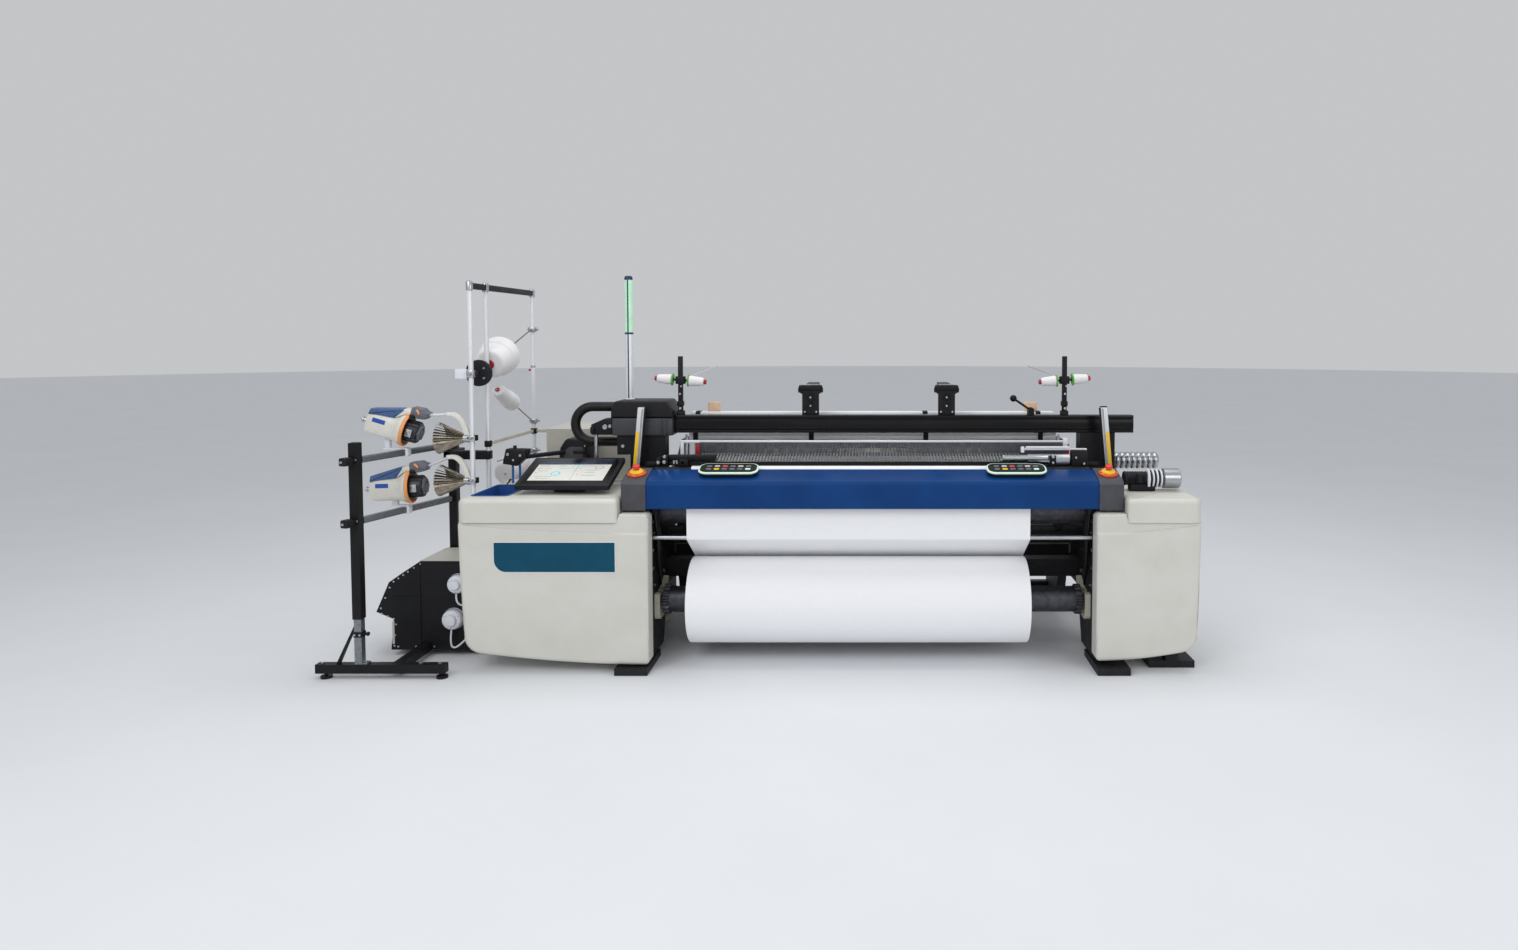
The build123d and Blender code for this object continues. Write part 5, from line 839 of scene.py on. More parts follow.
# %% Reed and temples
REED_LEFT, REED_RIGHT, TEMPLE_HALF = -884.0, 992.0, 118.0
CLOTH_LEFT, CLOTH_RIGHT = -898.0, 762.0
dent_grey = coat("flat_steel_dents", "#77797D", "#5B5D62", 0.38, 20, 1.0, 0.02, 0.85)
dents = wires(np.arange(REED_LEFT + 2, REED_RIGHT, 4.0), 1.2, 352.5, 361.5, 972, 1062)
piece("reed_dents", dents, dent_grey, "sley", ["reed"])
baulk = outline([(352, 0, 3), (362, 0, 3), (362, 11, 3), (352, 11, 3)], 5)
for name, line, finish in (("reed_top_baulk", baulk + np.array([0, 1057.0]), aluminium_x),
                           ("reed_low_baulk", baulk * np.array([1, 1.4]) + np.array([0, 968.0]), beam_blue)):
    piece(name, slab(line, REED_LEFT, REED_RIGHT, YZ, soft=1.0), finish, "sley", ["reed"])
casts, rollers, arms = [], [], []
for edge, way in ((CLOTH_LEFT, 1), (CLOTH_RIGHT, -1)):
    outer = edge - way * TEMPLE_HALF
    low, high = sorted((edge + way * TEMPLE_HALF, outer))
    casts.append(brick(low, high, 200, 246, 984, 1010, 5.0))
    teeth = [(k * 4.0, 11.6 if k % 2 else 9.6) for k in range(60)]
    rollers.append(turned(teeth, (low, 246, 980), RIGHT, 24))
    near, far = sorted((outer, outer - way * 34))
    arms.append(brick(near, far, 196, 246, 953, 1010, 4.0))
    rollers += bolts([(near + 17, 1004, 8), (near + 17, 974, 6)], 190, 200, 16)
rails = bricks((-1010, 880, 206, 236, 958, 966, 1.5), (-1010, 880, 206, 214, 966, 978, 1.5))
blocks = bricks((-1074, -1052, 196, 250, 950, 1000, 3), (990, 1070, 200, 250, 952, 1034, 4),
                (-960, -915, 186, 202, 960, 992, 3))
piece("temple_bodies", [casts[0], *arms, *rails, *blocks], black_coat, stands_for=["temples"])
bars = bricks((748, 1074, 236, 246, 1032, 1041, 2), (766, 986, 224, 236, 1043, 1052, 2),
              (742, 760, 222, 246, 1020, 1050, 4))
piece("temple_bars", bars, white_unit)
piece("temple_head", [casts[1], brick(772, 988, 206, 244, 964, 1014, 4)], steel, stands_for=["temples"])
nuts = bolts([(-1064, 976, 9), (-1034, 978, 9), (-942, 976, 8), (1010, 1000, 6), (1050, 970, 6)], 186, 197, 6, 0.6)
nuts += [rod((x, 214, 966), (x, 214, 994), 9, 18) for x in (-990, -975)]
piece("temple_rollers", rollers + nuts, steel, stands_for=["temples"])
clips = bricks((-986, -966, 344, 363, 984, 1064, 4), (-986, -884, 344, 363, 1056, 1069, 3),
               (976, 1004, 344, 363, 1034, 1082, 5))
piece("reed_clips", clips, white_unit, "sley")
piece("sley_strip", brick(REED_LEFT, REED_RIGHT, 326, 350, 960, 969, 1.5), aluminium_x, "sley")
print("reed and temples made")

# %% [markdown]
# Cloth. It runs from the fell over the nose bar, round the take-up roller, over the turn bar and the guide
# bar onto the roll. Between two bars it is a straight tangent, on a bar it is an arc, so the line is worked out
# from the bars alone and carried across the width as one thin closed sheet.

# %% Cloth web and roll
CLOTH_THICK, CLOTH_GAP, FELL, WARP_END, CLOTH_Z = 1.4, 1.3, 262.0, 712.0, 962.0
# A roll is the y and z of its axis and its radius.
CLOTH_ROLL, WARP_ROLL = (190.0, 292.0, 210.0), (1120.0, 452.0, 312.0)


def cloth_line(stops, shift):
    """Points of a line over round bars. A stop is (y, z, signed radius); the tangent between two bars leaves
    at the angle of their line plus acos((r0 - r1) / distance); shift moves the line to its left."""
    stops = np.array(stops, float)
    run = np.diff(stops[:, :2], axis=0)
    reach = np.linalg.norm(run, axis=1)
    normal = np.arctan2(run[:, 1], run[:, 0]) + np.arccos((stops[:-1, 2] - stops[1:, 2]) / reach)
    first, last = np.concatenate([normal[:1], normal]), np.concatenate([normal, normal[-1:]])
    swing = (last - first) % (2 * np.pi)
    swing = np.where(stops[:, 2] > 0, swing - 2 * np.pi, swing)
    swing[[0, -1]] = 0
    angle = first[:, None] + swing[:, None] * np.linspace(0, 1, 14)
    size = (stops[:, 2] + shift)[:, None]
    return np.stack([stops[:, 0, None] + size * np.cos(angle), stops[:, 1, None] + size * np.sin(angle)], -1)


def cloth_sheet(stops, thick, columns):
    """A closed thin sheet: the line moved half a thickness each way, carried across the cloth's width."""
    near, far = (cloth_line(stops, way * thick / 2) for way in (1, -1))
    near = np.concatenate([near[:1, 0], near[1:-1].reshape(-1, 2), near[-1:, -1]])
    far = np.concatenate([far[:1, 0], far[1:-1].reshape(-1, 2), far[-1:, -1]])
    length = np.concatenate([[0], np.cumsum(np.linalg.norm(np.diff((near + far) / 2, axis=0), axis=1))])
    loop = np.concatenate([near, far[::-1]])
    along = np.concatenate([length, length[::-1]])
    x = np.linspace(CLOTH_LEFT, CLOTH_RIGHT, columns)
    rings = np.stack([np.column_stack([np.full(len(loop), place), loop]) for place in x])
    uv = np.stack([np.broadcast_to(x[:, None], rings.shape[:2]), np.broadcast_to(along, rings.shape[:2])], -1) * MM
    return loft(rings), uv.reshape(-1, 2), length[-1] * MM


def wound(profile, x, roll, sides):
    """A roll turned from a profile about x. Its uv is the place along the roll, and radius times angle round it."""
    y, z, radius = roll
    points, faces = turned(profile, (x, y, z), RIGHT, sides)
    angle = np.arctan2(points[:, 2] - z, points[:, 1] - y)
    return (points, faces), np.column_stack([points[:, 0], np.abs(angle) * radius]) * MM


cloth_stops = [(FELL, CLOTH_Z, 0), (196, 936, -18 - CLOTH_GAP), (222, 742, 78 + CLOTH_GAP), (64, 806, -14 - CLOTH_GAP),
               (62, 628, -12 - CLOTH_GAP), (*CLOTH_ROLL[:2], CLOTH_ROLL[2] + 2 * CLOTH_GAP)]
shape, uv, web_long = cloth_sheet(cloth_stops, CLOTH_THICK, 40)
web = piece("cloth_web", shape, cotton, stands_for=["fabric_web"], uv=uv)
turns = np.arange(66.0, 206.0, 2.0)
end_face = np.column_stack([0.7 * (np.arange(len(turns)) % 2), turns])
profile = np.concatenate([end_face, [(1.2, 208), (4, 210), (830, 210.4), (1656, 210), (1658.8, 208)],
                          np.column_stack([1660 - end_face[:, 0], turns])[::-1]])
shape, uv = wound(profile, CLOTH_LEFT, CLOTH_ROLL, 120)
piece("cloth_turns", shape, cotton, "cloth_beam", ["cloth_roll"], uv=uv)
print("cloth web length", round(web_long, 3), "m")

# %% [markdown]
# Warp. The sheet of threads leaves the roll at its rear, runs over the back rest and forward to the droppers.
# The roll is wound from the same threads: its profile rises and falls every few millimetres.

# %% Warp sheet and roll
warp_stops = [(WARP_END, CLOTH_Z, 0), (1176, 904, 72 + CLOTH_GAP), (*WARP_ROLL[:2], WARP_ROLL[2] + 2 * CLOTH_GAP)]
shape, uv, warp_long = cloth_sheet(warp_stops, CLOTH_THICK, 40)
warp = piece("warp_threads_sheet", shape, warp_yarn, stands_for=["warp_sheet"], uv=uv)
low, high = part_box("warp_roll")
left, right = (np.array([low.x, high.x]) - HOME[0]) / MM
steps = np.arange(0.0, right - left, 4.0)
ripple = np.column_stack([steps, WARP_ROLL[2] - 0.9 * (np.arange(len(steps)) % 2)])
profile = np.concatenate([[(0.0, 120.0), (0.0, 308.0)], ripple[1:-1], [(right - left, 308.0), (right - left, 120.0)]])
shape, uv = wound(profile, left, WARP_ROLL, 90)
piece("warp_turns", shape, warp_yarn, "warp_beam", ["warp_roll"], uv=uv, sharp=60)
print("warp sheet length", round(warp_long, 3), "m; roll from", round(left), "to", round(right))

# %% [markdown]
# Weft feeders. Each body is a loft of superellipses |y/a|^n + |z/b|^n = 1: nearly a box at the tail, where n
# is 4, and a circle at the mouth, where n is 2. The feeder's own axes are turned and pitched as on its rail.

# %% Weft feeders
FEEDER_TURN, FEEDER_Y = 5.0, 205.0
# A feeder is the place of its mouth, its pitch in degrees, the height of its rail and its winding disc.
FEEDERS = (((-2322.0, FEEDER_Y, 1140.0), 16.0, 1026.0, "upper_winder"),
           ((-2306.0, FEEDER_Y, 854.0), -2.0, 740.0, "lower_winder"))
RAIL_HEIGHTS = [feeder[2] for feeder in FEEDERS]
RAIL_FOOT, RAIL_RUN = (-2404.0, -108.0), (168.0, 656.0)
STATION = np.array([-184, -180, -170, -140, -105, -72, -54, -42, -32, -23, -16, -8, 0], float)
HALF_WIDE = np.array([24, 29, 33, 40, 46, 51, 54, 58, 63, 70, 77, 81, 82], float)
HALF_TALL = np.array([44, 50, 53, 55, 55, 55, 56, 59, 64, 70, 77, 81, 82], float)
MIDDLE = np.array([-9, -9, -9, -9, -9, -8, -7, -6, -4, -2, -1, 0, 0], float)
POWER = np.array([3.6, 3.8, 4, 4, 4, 4, 3.6, 3.2, 2.8, 2.4, 2.1, 2, 2], float)


def turn_about(degrees, axis):
    """Rotation matrix about one axis (0, 1 or 2)."""
    c, s = math.cos(math.radians(degrees)), math.sin(math.radians(degrees))
    matrix = np.eye(3)
    a, b = [(1, 2), (2, 0), (0, 1)][axis]
    matrix[[a, a, b, b], [a, b, a, b]] = [c, -s, s, c]
    return matrix


def at_feeder(shape, feeder):
    """A shape drawn on a feeder's own axes, pitched and turned to its place."""
    matrix = turn_about(feeder[1], 1) @ turn_about(FEEDER_TURN, 2)
    return np.asarray(shape[0]) @ matrix.T + np.array(feeder[0]), shape[1]


def at_both(shape):
    """The same shape on both feeders."""
    return together(*[at_feeder(shape, feeder) for feeder in FEEDERS])


def feeder_point(point, feeder):
    """One point on a feeder's own axes, in its place."""
    return at_feeder((np.array([point], float), []), feeder)[0][0]


def superellipse(angle, wide, tall, power):
    """Points of |y/a|^n + |z/b|^n = 1: the cosine and sine raised to 2/n, each keeping its sign."""
    across, up = np.cos(angle), np.sin(angle)
    return (wide * np.sign(across) * np.abs(across) ** (2 / power), tall * np.sign(up) * np.abs(up) ** (2 / power))


angle = np.linspace(0, 2 * np.pi, 72, endpoint=False)[None]
y, z = superellipse(angle, HALF_WIDE[:, None], HALF_TALL[:, None], POWER[:, None])
bell = loft(np.stack([np.broadcast_to(STATION[:, None], y.shape), y, z + MIDDLE[:, None]], -1))
x = np.linspace(-150.0, -84.0, 14)
high = np.linspace(4.0, 25.0, 5)
wide, tall, mid, power = (np.interp(x, STATION, values) for values in (HALF_WIDE, HALF_TALL, MIDDLE, POWER))
wide, tall, mid, power = (values[:, None] for values in (wide, tall, mid, power))
skin = wide * (1 - np.abs((high[None] - mid) / tall) ** power) ** (1 / power)
front = np.stack([np.broadcast_to(x[:, None], skin.shape), -skin - 0.8, np.broadcast_to(high, skin.shape)], -1)
label = loft(np.concatenate([front, (front + np.array([0, 3.0, 0]))[:, ::-1]], 1))
lid = cut([(-180, 34, 3), (-54, 46, 3), (-16, 98, 5), (-34, 102, 8), (-174, 64, 8)], -34, 34, soft=6)
arm = cut([(-60, 40, 3), (-8, 74, 4), (16, 82, 2), (16, 104, 4), (-18, 104, 6)], -30, 30, soft=4)
head = together(cut([(10, 84, 4), (52, 70, 6), (92, 78, 8), (96, 108, 8), (66, 126, 8), (14, 122, 6)], -30, 30, soft=5),
                cut([(54, 84, 3), (98, 88, 6), (98, 112, 6), (58, 114, 3)], -34, 34, soft=4, bends=4))
spark = together(cut([(34, 112, 2), (54, 92, 2), (62, 98, 2), (42, 119, 2)], -33, -28, soft=1.5, bends=4),
                 brick(-8, 14, -34, -18, 74, 84, 3))
knob = turned([(-182, 15), (-190, 15), (-192, 11), (-198, 11), (-200, 14), (-206, 14), (-210, 9), (-214, 5)],
              (0, 0, -4), RIGHT, 28)
halo = hoop([(0.5, 76.5), (0.5, 82), (3, 84.5), (13, 84.5), (16, 82), (16, 76.5)], ZERO, RIGHT, 72)
third = np.linspace(0, 2 * np.pi, 3, endpoint=False)
disc = together(turned([(0.5, 13), (0.5, 70), (2, 72), (8, 72), (9.5, 70), (9.5, 13)], ZERO, RIGHT, 60),
                *[rod((9, y, z), (10.5, y, z), 4, 12, 0.4) for y, z in zip(63 * np.cos(third), 63 * np.sin(third))])
around = np.linspace(0, 2 * np.pi, 192, endpoint=False)
slots = 3.6 * (np.cos(12 * around) > 0.35)
along = np.array([10.4, 12, 62, 68, 72], float)[:, None]
reach = np.array([53, 55, 55, 53, 48], float)[:, None] - slots[None]
drum = loft(np.stack([np.broadcast_to(along, reach.shape), reach * np.cos(around), reach * np.sin(around)], -1))
nose = turned([(70, 44), (76, 43), (82, 38), (84, 30), (84, 8)], ZERO, RIGHT, 6)
shoe = together(*bricks((18, 52, -60, -52, -22, 16, 2), (26, 44, -62, -58, -10, 8, 1.5)))
grip = together(rod((60, 0, 20), (86, 0, 20), 6, 16), brick(14, 40, -40, -8, 66, 84, 4))
label_blue = coat("printed_foil_blue", "#2354B0", "#1D4AA0", 0.35, 60, 1.0, 0.01)
housing = {feeder_beige: [bell, arm], feeder_blue: [lid], label_blue: [label], head_grey: [head],
           halo_orange: [spark, halo], steel: [knob, shoe], black_abs: [grip]}
for finish, shapes in housing.items():
    piece("feeder_" + finish.name, [at_both(shape) for shape in shapes], finish, stands_for=["feeder_housings"])
piece("feeder_drum_bodies", at_both(drum), drum_dark, stands_for=["feeder_drums"])
piece("feeder_drum_noses", at_both(nose), head_grey, sharp=20)
brackets = []
rail_x = RAIL_FOOT[0] + RAIL_RUN[0] * (FEEDER_Y - RAIL_FOOT[1]) / RAIL_RUN[1]
for feeder in FEEDERS:
    rail_z, winder = feeder[2:]
    piece(winder + "_disc", at_feeder(disc, feeder), drum_dark, winder, [winder])
    foot = feeder_point((-74, 0, -58), feeder)
    top = rail_z + 14
    brackets += bricks((foot[0] - 15, foot[0] + 15, 192, 218, top + 4, foot[2] + 4, 4),
                       (min(foot[0], rail_x) - 18, max(foot[0], rail_x) + 18, 186, 224, top, top + 9, 3),
                       (rail_x - 22, rail_x + 22, 184, 226, top - 34, top + 2, 5))
piece("feeder_brackets", brackets, white_unit, stands_for=["feeder_housings"])
print("feeders made")

# %% [markdown]
# Balloon breakers: cones of thin steel slats like half-open blinds. Slat i stands at angle 2 pi i / n; it is
# narrow at the hub, wide at the mouth, and its width is turned a little out of the cone.

# %% Balloon breakers
BREAKERS = (1096.0, 884.0)
HUB_X, MOUTH_X, SLATS, SLAT_TWIST = -2012.0, -2154.0, 26, 38.0
theta = np.linspace(0, 2 * np.pi, SLATS, endpoint=False)
out = np.column_stack([np.zeros(SLATS), np.cos(theta), np.sin(theta)])
tangent = np.column_stack([np.zeros(SLATS), -np.sin(theta), np.cos(theta)])
across_slat = tangent * math.cos(math.radians(SLAT_TWIST)) + out * math.sin(math.radians(SLAT_TWIST))
hub_end = np.array([HUB_X - 8, 0, 0]) + out * 15
mouth_end = np.array([MOUTH_X, 0, 0]) + out * 73
thick = unit(np.cross(mouth_end - hub_end, across_slat)) * 0.8
corner = [end + side * width * across_slat + face * thick for end, width in ((hub_end, 2.2), (mouth_end, 9.6))
          for side, face in ((-1, -1), (1, -1), (1, 1), (-1, 1))]
cone = blocks_of(np.stack(corner, 1))
hub = turned([(-40, 8), (-40, 13), (-36, 14), (-30, 14), (-28, 20), (-6, 20), (-4, 22), (6, 22), (8, 17), (13, 17)],
             (HUB_X, 0, 0), RIGHT, 32)
clamp = together(brick(-2011, -1969, -21, 21, -13, 13, 3), rod((-1990, -34, 0), (-1990, -20, 0), 7, 16),
                 rod((-1978, -30, 6), (-1978, -20, 6), 4, 12))
share = np.linspace(0, 1, 24)[:, None]
bend = ((1 - share) ** 2 * [HUB_X + 2, 0] + 2 * share * (1 - share) * [HUB_X - 26, 130]
        + share ** 2 * [HUB_X - 92, 118])
side_way = unit(np.gradient(bend, axis=0))[:, ::-1] * [-1, 1] * (13 - 3 * share)
elbow = slab(np.concatenate([bend + side_way, (bend - side_way)[::-1]]), -12, 12, XZ, soft=3)
tip_block = brick(HUB_X - 108, HUB_X - 78, -13, 13, 108, 128, 4)
knob = together(brick(-1976, -1962, -18, 10, -12, 16, 3), rod((-1998, -38, 4), (-1998, -33, 4), 4, 12))
steel_parts, slat_parts, elbows, knobs, links = [], [], [], [], []
for height, feeder in zip(BREAKERS, FEEDERS):
    spot = [(0, FEEDER_Y, height)]
    slat_parts.append(copies(cone, spot))
    steel_parts += [copies(hub, spot), copies(clamp, spot)]
    elbows.append(copies(elbow, spot))
    knobs.append(copies(knob, spot))
    start = feeder_point((92, 0, 98), feeder)
    links += [rod(start, (HUB_X - 92, FEEDER_Y, height + 118), 7, 20), copies(tip_block, spot)]
piece("breaker_slats", slat_parts, slat_steel, stands_for=["balloon_breakers"], sharp=20)
piece("breaker_hubs", steel_parts, steel, stands_for=["balloon_breakers"])
piece("breaker_elbows", elbows, feeder_beige, stands_for=["balloon_breakers"])
piece("breaker_links", links, aluminium, stands_for=["balloon_breakers"])
piece("breaker_knobs", knobs, black_abs)
print("breakers made")

# %% [markdown]
# Creel: three drawn poles under a flat bar, clamps on the rear pole, wire spikes and the yarn packages. A
# package is a lathe profile with a step where the outer layers end, and a red tip on its tube.

# %% Creel
POLE_X, POLE_TOP, EYE, FRONT_Y, SECOND_Y, REAR_Y = -1990.0, 1868.0, np.array([-1990.0, 300.0, 1416.0]), 205, 400, 1066
poles = [rod((POLE_X, y, low), (POLE_X, y, POLE_TOP - 4), 12.0, 28)
         for y, low in ((FRONT_Y, 818), (SECOND_Y, 818), (REAR_Y, 900))]
piece("creel_poles", poles, aluminium, stands_for=["creel_frame"])
cap = [(-40, 15), (-38, 17), (-2, 17), (4, 15), (8, 9)]
caps = [turned(cap, (POLE_X, y, POLE_TOP), UP, 24) for y in (FRONT_Y, SECOND_Y, REAR_Y)]
grips, pins, spikes, cups, yarn_cones, red_tips, black_rings = [], [], [], [], [], [], []
# A package: height of its clamp, point (y, z) it looks at, distance from the clamp, length, foot and nose radius.
PACKAGES = ((1640.0, EYE[1:], 470, 172, 103, 76), (1104.0, EYE[1:], 335, 220, 47, 35),
            (930.0, np.array([300.0, 800.0]), 270, 160, 84, 64))
for level, aim, place, length, foot, nose in PACKAGES:
    grips += [brick(POLE_X - 20, POLE_X + 20, 1046, 1088, level - 15, level + 15, 4),
              rod((POLE_X - 26, 1058, level + 6), (POLE_X + 26, 1058, level + 6), 6, 16)]
    pins.append(rod((POLE_X - 32, 1078, level), (POLE_X + 32, 1078, level), 5, 12))
    start = np.array([POLE_X, 1046.0, level])
    way = unit(np.array([0, aim[0] - 1046.0, aim[1] - level]))
    step, end, tip = place + 0.45 * length, place + length, 0.34 * nose
    spikes.append(rod(start, start + way * (end + 10), 3.6, 12, 0.5))
    cups.append(turned([(place - 20, 5), (place - 20, 12), (place - 16, 16), (place - 8, 16), (place - 6, 0.5 * foot),
                        (place, 0.52 * foot)], start, way, 24))
    body = [(place, 20), (place, foot * 0.90), (place + 4, foot * 0.97), (place + 12, foot), (step - 6, foot * 0.955),
            (step, foot * 0.92), (step + 3, foot * 0.875), (end - 22, nose * 1.04), (end - 8, nose * 0.98),
            (end - 2, nose * 0.90), (end, nose * 0.8), (end, 12)]
    yarn_cones.append(turned(body, start, way, 56))
    if level > 1000:
        red_tips.append(turned([(end - 2, tip), (end + 3, tip), (end + 6, tip * 0.8), (end + 6, 4)], start, way, 28))
    black_rings.append(turned([(place - 3, foot * 0.5), (place - 3, foot * 0.62), (place + 2, foot * 0.64)],
                              start, way, 32))
piece("creel_cones", yarn_cones, wound_yarn, stands_for=["yarn_packages"])
piece("creel_cone_tips", red_tips, tip_red)
piece("creel_wires", spikes, slat_steel, stands_for=["creel_frame"])
bar = brick(POLE_X - 11, POLE_X + 11, 192, 1079, 1836, 1866, 2)
eye_disc = turned([(-12, 20), (-12, 58), (-9, 66), (-5, 67), (5, 67), (9, 66), (12, 58), (12, 20)], EYE, (0, 1, 0), 56)
stays = [brick(POLE_X - 16, POLE_X + 16, y - 16, y + 16, 1030, 1062, 3) for y in (SECOND_Y, REAR_Y)]
plinth = bricks((-2215, POLE_X + 14, 375, 425, 966, 1010, 4), (-2215, -2173, 375, 548, 966, 1010, 4))
piece("creel_black_parts", [bar, eye_disc, *stays, *plinth, *black_rings, *cups], black_abs,
      stands_for=["creel_frame"])
hub_bolts = [rod(EYE + (dx, -17, dz), EYE + (dx, -9, dz), 6, 14)
             for dx, dz in ((-30, 24), (30, 24), (-30, -26), (30, -26))]
eye_clamps = [brick(POLE_X - 19, POLE_X + 19, y - 19, y + 19, 1398, 1434, 4) for y in (FRONT_Y, SECOND_Y)]
eye_bar = brick(POLE_X - 7, POLE_X + 7, FRONT_Y, SECOND_Y, 1409, 1423, 2)
eye_ring = hoop([(-6, 10), (-6, 14), (6, 14), (6, 10)], (POLE_X, REAR_Y, 1424), UP, 24)
eye_bolt = rod((POLE_X, 178, 1416), (POLE_X, 190, 1416), 8, 16)
piece("creel_bright_parts", [*caps, *grips, *pins, *hub_bolts, *eye_clamps, eye_bar, eye_bolt, eye_ring], steel,
      stands_for=["creel_frame"])
eye_plate = cut([(-2066, 1392, 4), (-2006, 1392, 2), (-2006, 1440, 2), (-2066, 1440, 4)], 196, 202, soft=1, bends=4)
piece("creel_plate", [eye_plate, brick(-2012, -2006, 186, 224, 1392, 1440, 1.5)], white_unit)
piece("creel_catch", brick(POLE_X - 26, POLE_X - 8, 1058, 1074, 1398, 1410, 3), tip_red)
ties = bricks((POLE_X - 3, POLE_X + 3, SECOND_Y, REAR_Y, 1037, 1055, 1), (POLE_X, -1836, 1063, 1069, 1037, 1055, 1))
piece("creel_ties", ties, cream_cast, stands_for=["creel_frame"])
print("creel made")

# %% [markdown]
# Nozzle block, its carrier, and the black hood over the harness drive with its bolts.

# %% Nozzle, carrier and hood
tube_blue = coat("polyurethane_tube_blue", "#2F6FC0", "#2762AE", 0.3, 40, 1.0, 0.02, varnish=0.2)
body = cut([(-1920, 940, 5), (-1846, 928, 5), (-1797, 976, 5), (-1800, 1014, 6), (-1902, 1018, 6)], 400, 462, soft=5)
hooked = cut([(-1840, 990, 3), (-1790, 990, 3), (-1786, 1016, 5), (-1846, 1018, 3)], 412, 450, soft=3, bends=4)
carrier = cut([(-1694, 722, 6), (-1546, 722, 6), (-1546, 1040, 14), (-1660, 1048, 30), (-1694, 996, 26)], 622, 770,
              soft=8, bends=8)
lugs = bricks((-1704, -1688, 640, 700, 930, 960, 4), (-1550, -1534, 640, 700, 930, 960, 4),
              (-1620, -1552, 608, 628, 968, 984, 4))
arm = rod((-1806, 432, 974), (-1664, 632, 974), 12, 24)
cap = rod((-1860, 420, 1016), (-1860, 420, 1034), 9, 18)
piece("nozzle_parts", [body, hooked, carrier, *lugs, arm, cap], black_abs, stands_for=["weft_nozzle"])
screws = bolts([(-1890, 990, 8), (-1862, 960, 6), (-1826, 984, 7)], 394, 402, 14)
screws += bolts([(x, z, 5) for x in (-1684, -1556) for z in (760, 1008)], 612, 624)
piece("nozzle_screws", [*screws, rod((-1920, 420, 962), (-1952, 414, 952), 5, 16)], steel)
tubes = [rod((x, 431, 836), (x, 431, 945), 6, 16) for x in (-1877, -1840)]
piece("nozzle_tubes", tubes, tube_blue, stands_for=["weft_nozzle"])
upper = cut([(-1356, 1176, 5), (-1034, 1176, 5), (-1034, 1214, 12), (-1072, 1266, 20), (-1338, 1266, 20),
             (-1356, 1214, 12)], 404, 646, soft=9, bends=6, steps=5)
lower = brick(-1354, -1036, 410, 640, 1086, 1186, 6)
ridges = [brick(x, x + 9, 402, 412, 1092, 1172, 2.5) for x in (-1096, -1072)]
panel_face = cut([(-1672, 770, 6), (-1566, 770, 6), (-1566, 1000, 8), (-1640, 1004, 20), (-1672, 978, 14)], 618, 626,
                 bends=6)
hood_dark = coat("moulded_abs_graphite", "#3B3D42", "#323439", 0.44, 80, 1.5, 0.06)
piece("hood_lid", upper, black_abs, stands_for=["harness_cover"])
piece("carrier_face", panel_face, hood_dark)
piece("hood_box", [lower, *ridges], hood_dark, stands_for=["harness_cover"])
loop_block = cut([(-1467, 1088, 5), (-1356, 1088, 3), (-1356, 1174, 3), (-1398, 1172, 8), (-1467, 1142, 8)], 432, 500,
                 soft=4, bends=4)
piece("loop_block", [loop_block, brick(-1470, -1446, 424, 436, 1098, 1128, 4)], black_coat)
loop_rod = rod((-1447, 456, 874), (-1447, 456, 1090), 10, 24)
bright = bolts([(-1392, 1130, 13), (-1366, 1134, 9)], 420, 434, 18)
piece("loop_bolts", [*bright, loop_rod, *bolts([(-1300, 1030, 9)], 422, 430, 18)], steel)
print("nozzle and hood made")

# %% [markdown]
# The black guard and the stand keep their solids; fasteners, strips and clamp parts are added on them.

# %% Guard, pressure units and stand fittings
GUARD = np.array([(-2415, 30), (-2400, 186), (-2486, 222), (-2420, 372), (-2350, 420), (-2262, 478)], float)
spots = np.concatenate([a + (b - a) * np.linspace(0.15, 0.85, 3)[:, None] for a, b in zip(GUARD[:-1], GUARD[1:])])
spots = [(u + 14, v - 4) for u, v in spots] + [(u, 46) for u in (-2380, -2290, -2200, -2110)]
studs = [turned([(0, 5), (2, 5), (4, 3)], (u, 200, v), FRONT, 12) for u, v in spots]
piece("guard_studs", studs, steel)
folds = bricks((-2268, -2262, 196, 202, 44, 470, 1), (-2400, -2266, 197, 201, 300, 304, 0.8))
piece("guard_folds", folds, black_coat)
strips = bricks((-2262, -1996, 204, 496, 478, 481, 1), (-2408, -2396, 197, 201, 60, 176, 1))
piece("guard_top_strip", strips, cabinet_grey)
discs, rims, studs = [], [], []
for x, z, r in ((-2070.0, 368.0, 50.0), (-2096.0, 190.0, 54.0)):
    start = (x, 200.0, z)
    face = [(0, r - 4), (1, r), (9, r), (12, r - 4), (30, r - 5), (38, r - 9), (42, r - 16), (42, r - 20), (40, r - 21),
            (40, r - 24), (50, r - 25), (56, r - 28), (58, r - 34), (58, 6)]
    discs.append(turned(face, start, FRONT, 56))
    rims.append(hoop([(11, r - 3), (11, r - 1), (15, r - 1), (15, r - 3)], start, FRONT, 56))
    studs += bolts([(x + (r - 14) * math.cos(a), z + (r - 14) * math.sin(a), 3) for a in (0.5, 2.6, 4.7)], 163, 159,
                   10, 0.5)
CABLES = (((-2072, 174, 320), (-2074, 168, 268), (-2052, 172, 262), (-2030, 196, 256)),
          ((-2100, 174, 138), (-2106, 160, 40), (-2090, 164, 30), (-2040, 196, 84)))
cables = [swept(curve(*points, 30), 4.5, 14, up=(0.3, 1.0, 0.2)) for points in CABLES]
piece("unit_cables", cables, white_unit)
piece("unit_bodies", discs, white_unit, stands_for=["regulators"])
piece("unit_rims", rims + studs, head_grey)
rail_way = unit(np.array([*RAIL_RUN, 0.0]))
rail_axes = np.array([np.cross(rail_way, [0, 0, 1]), [0, 0, 1], rail_way])
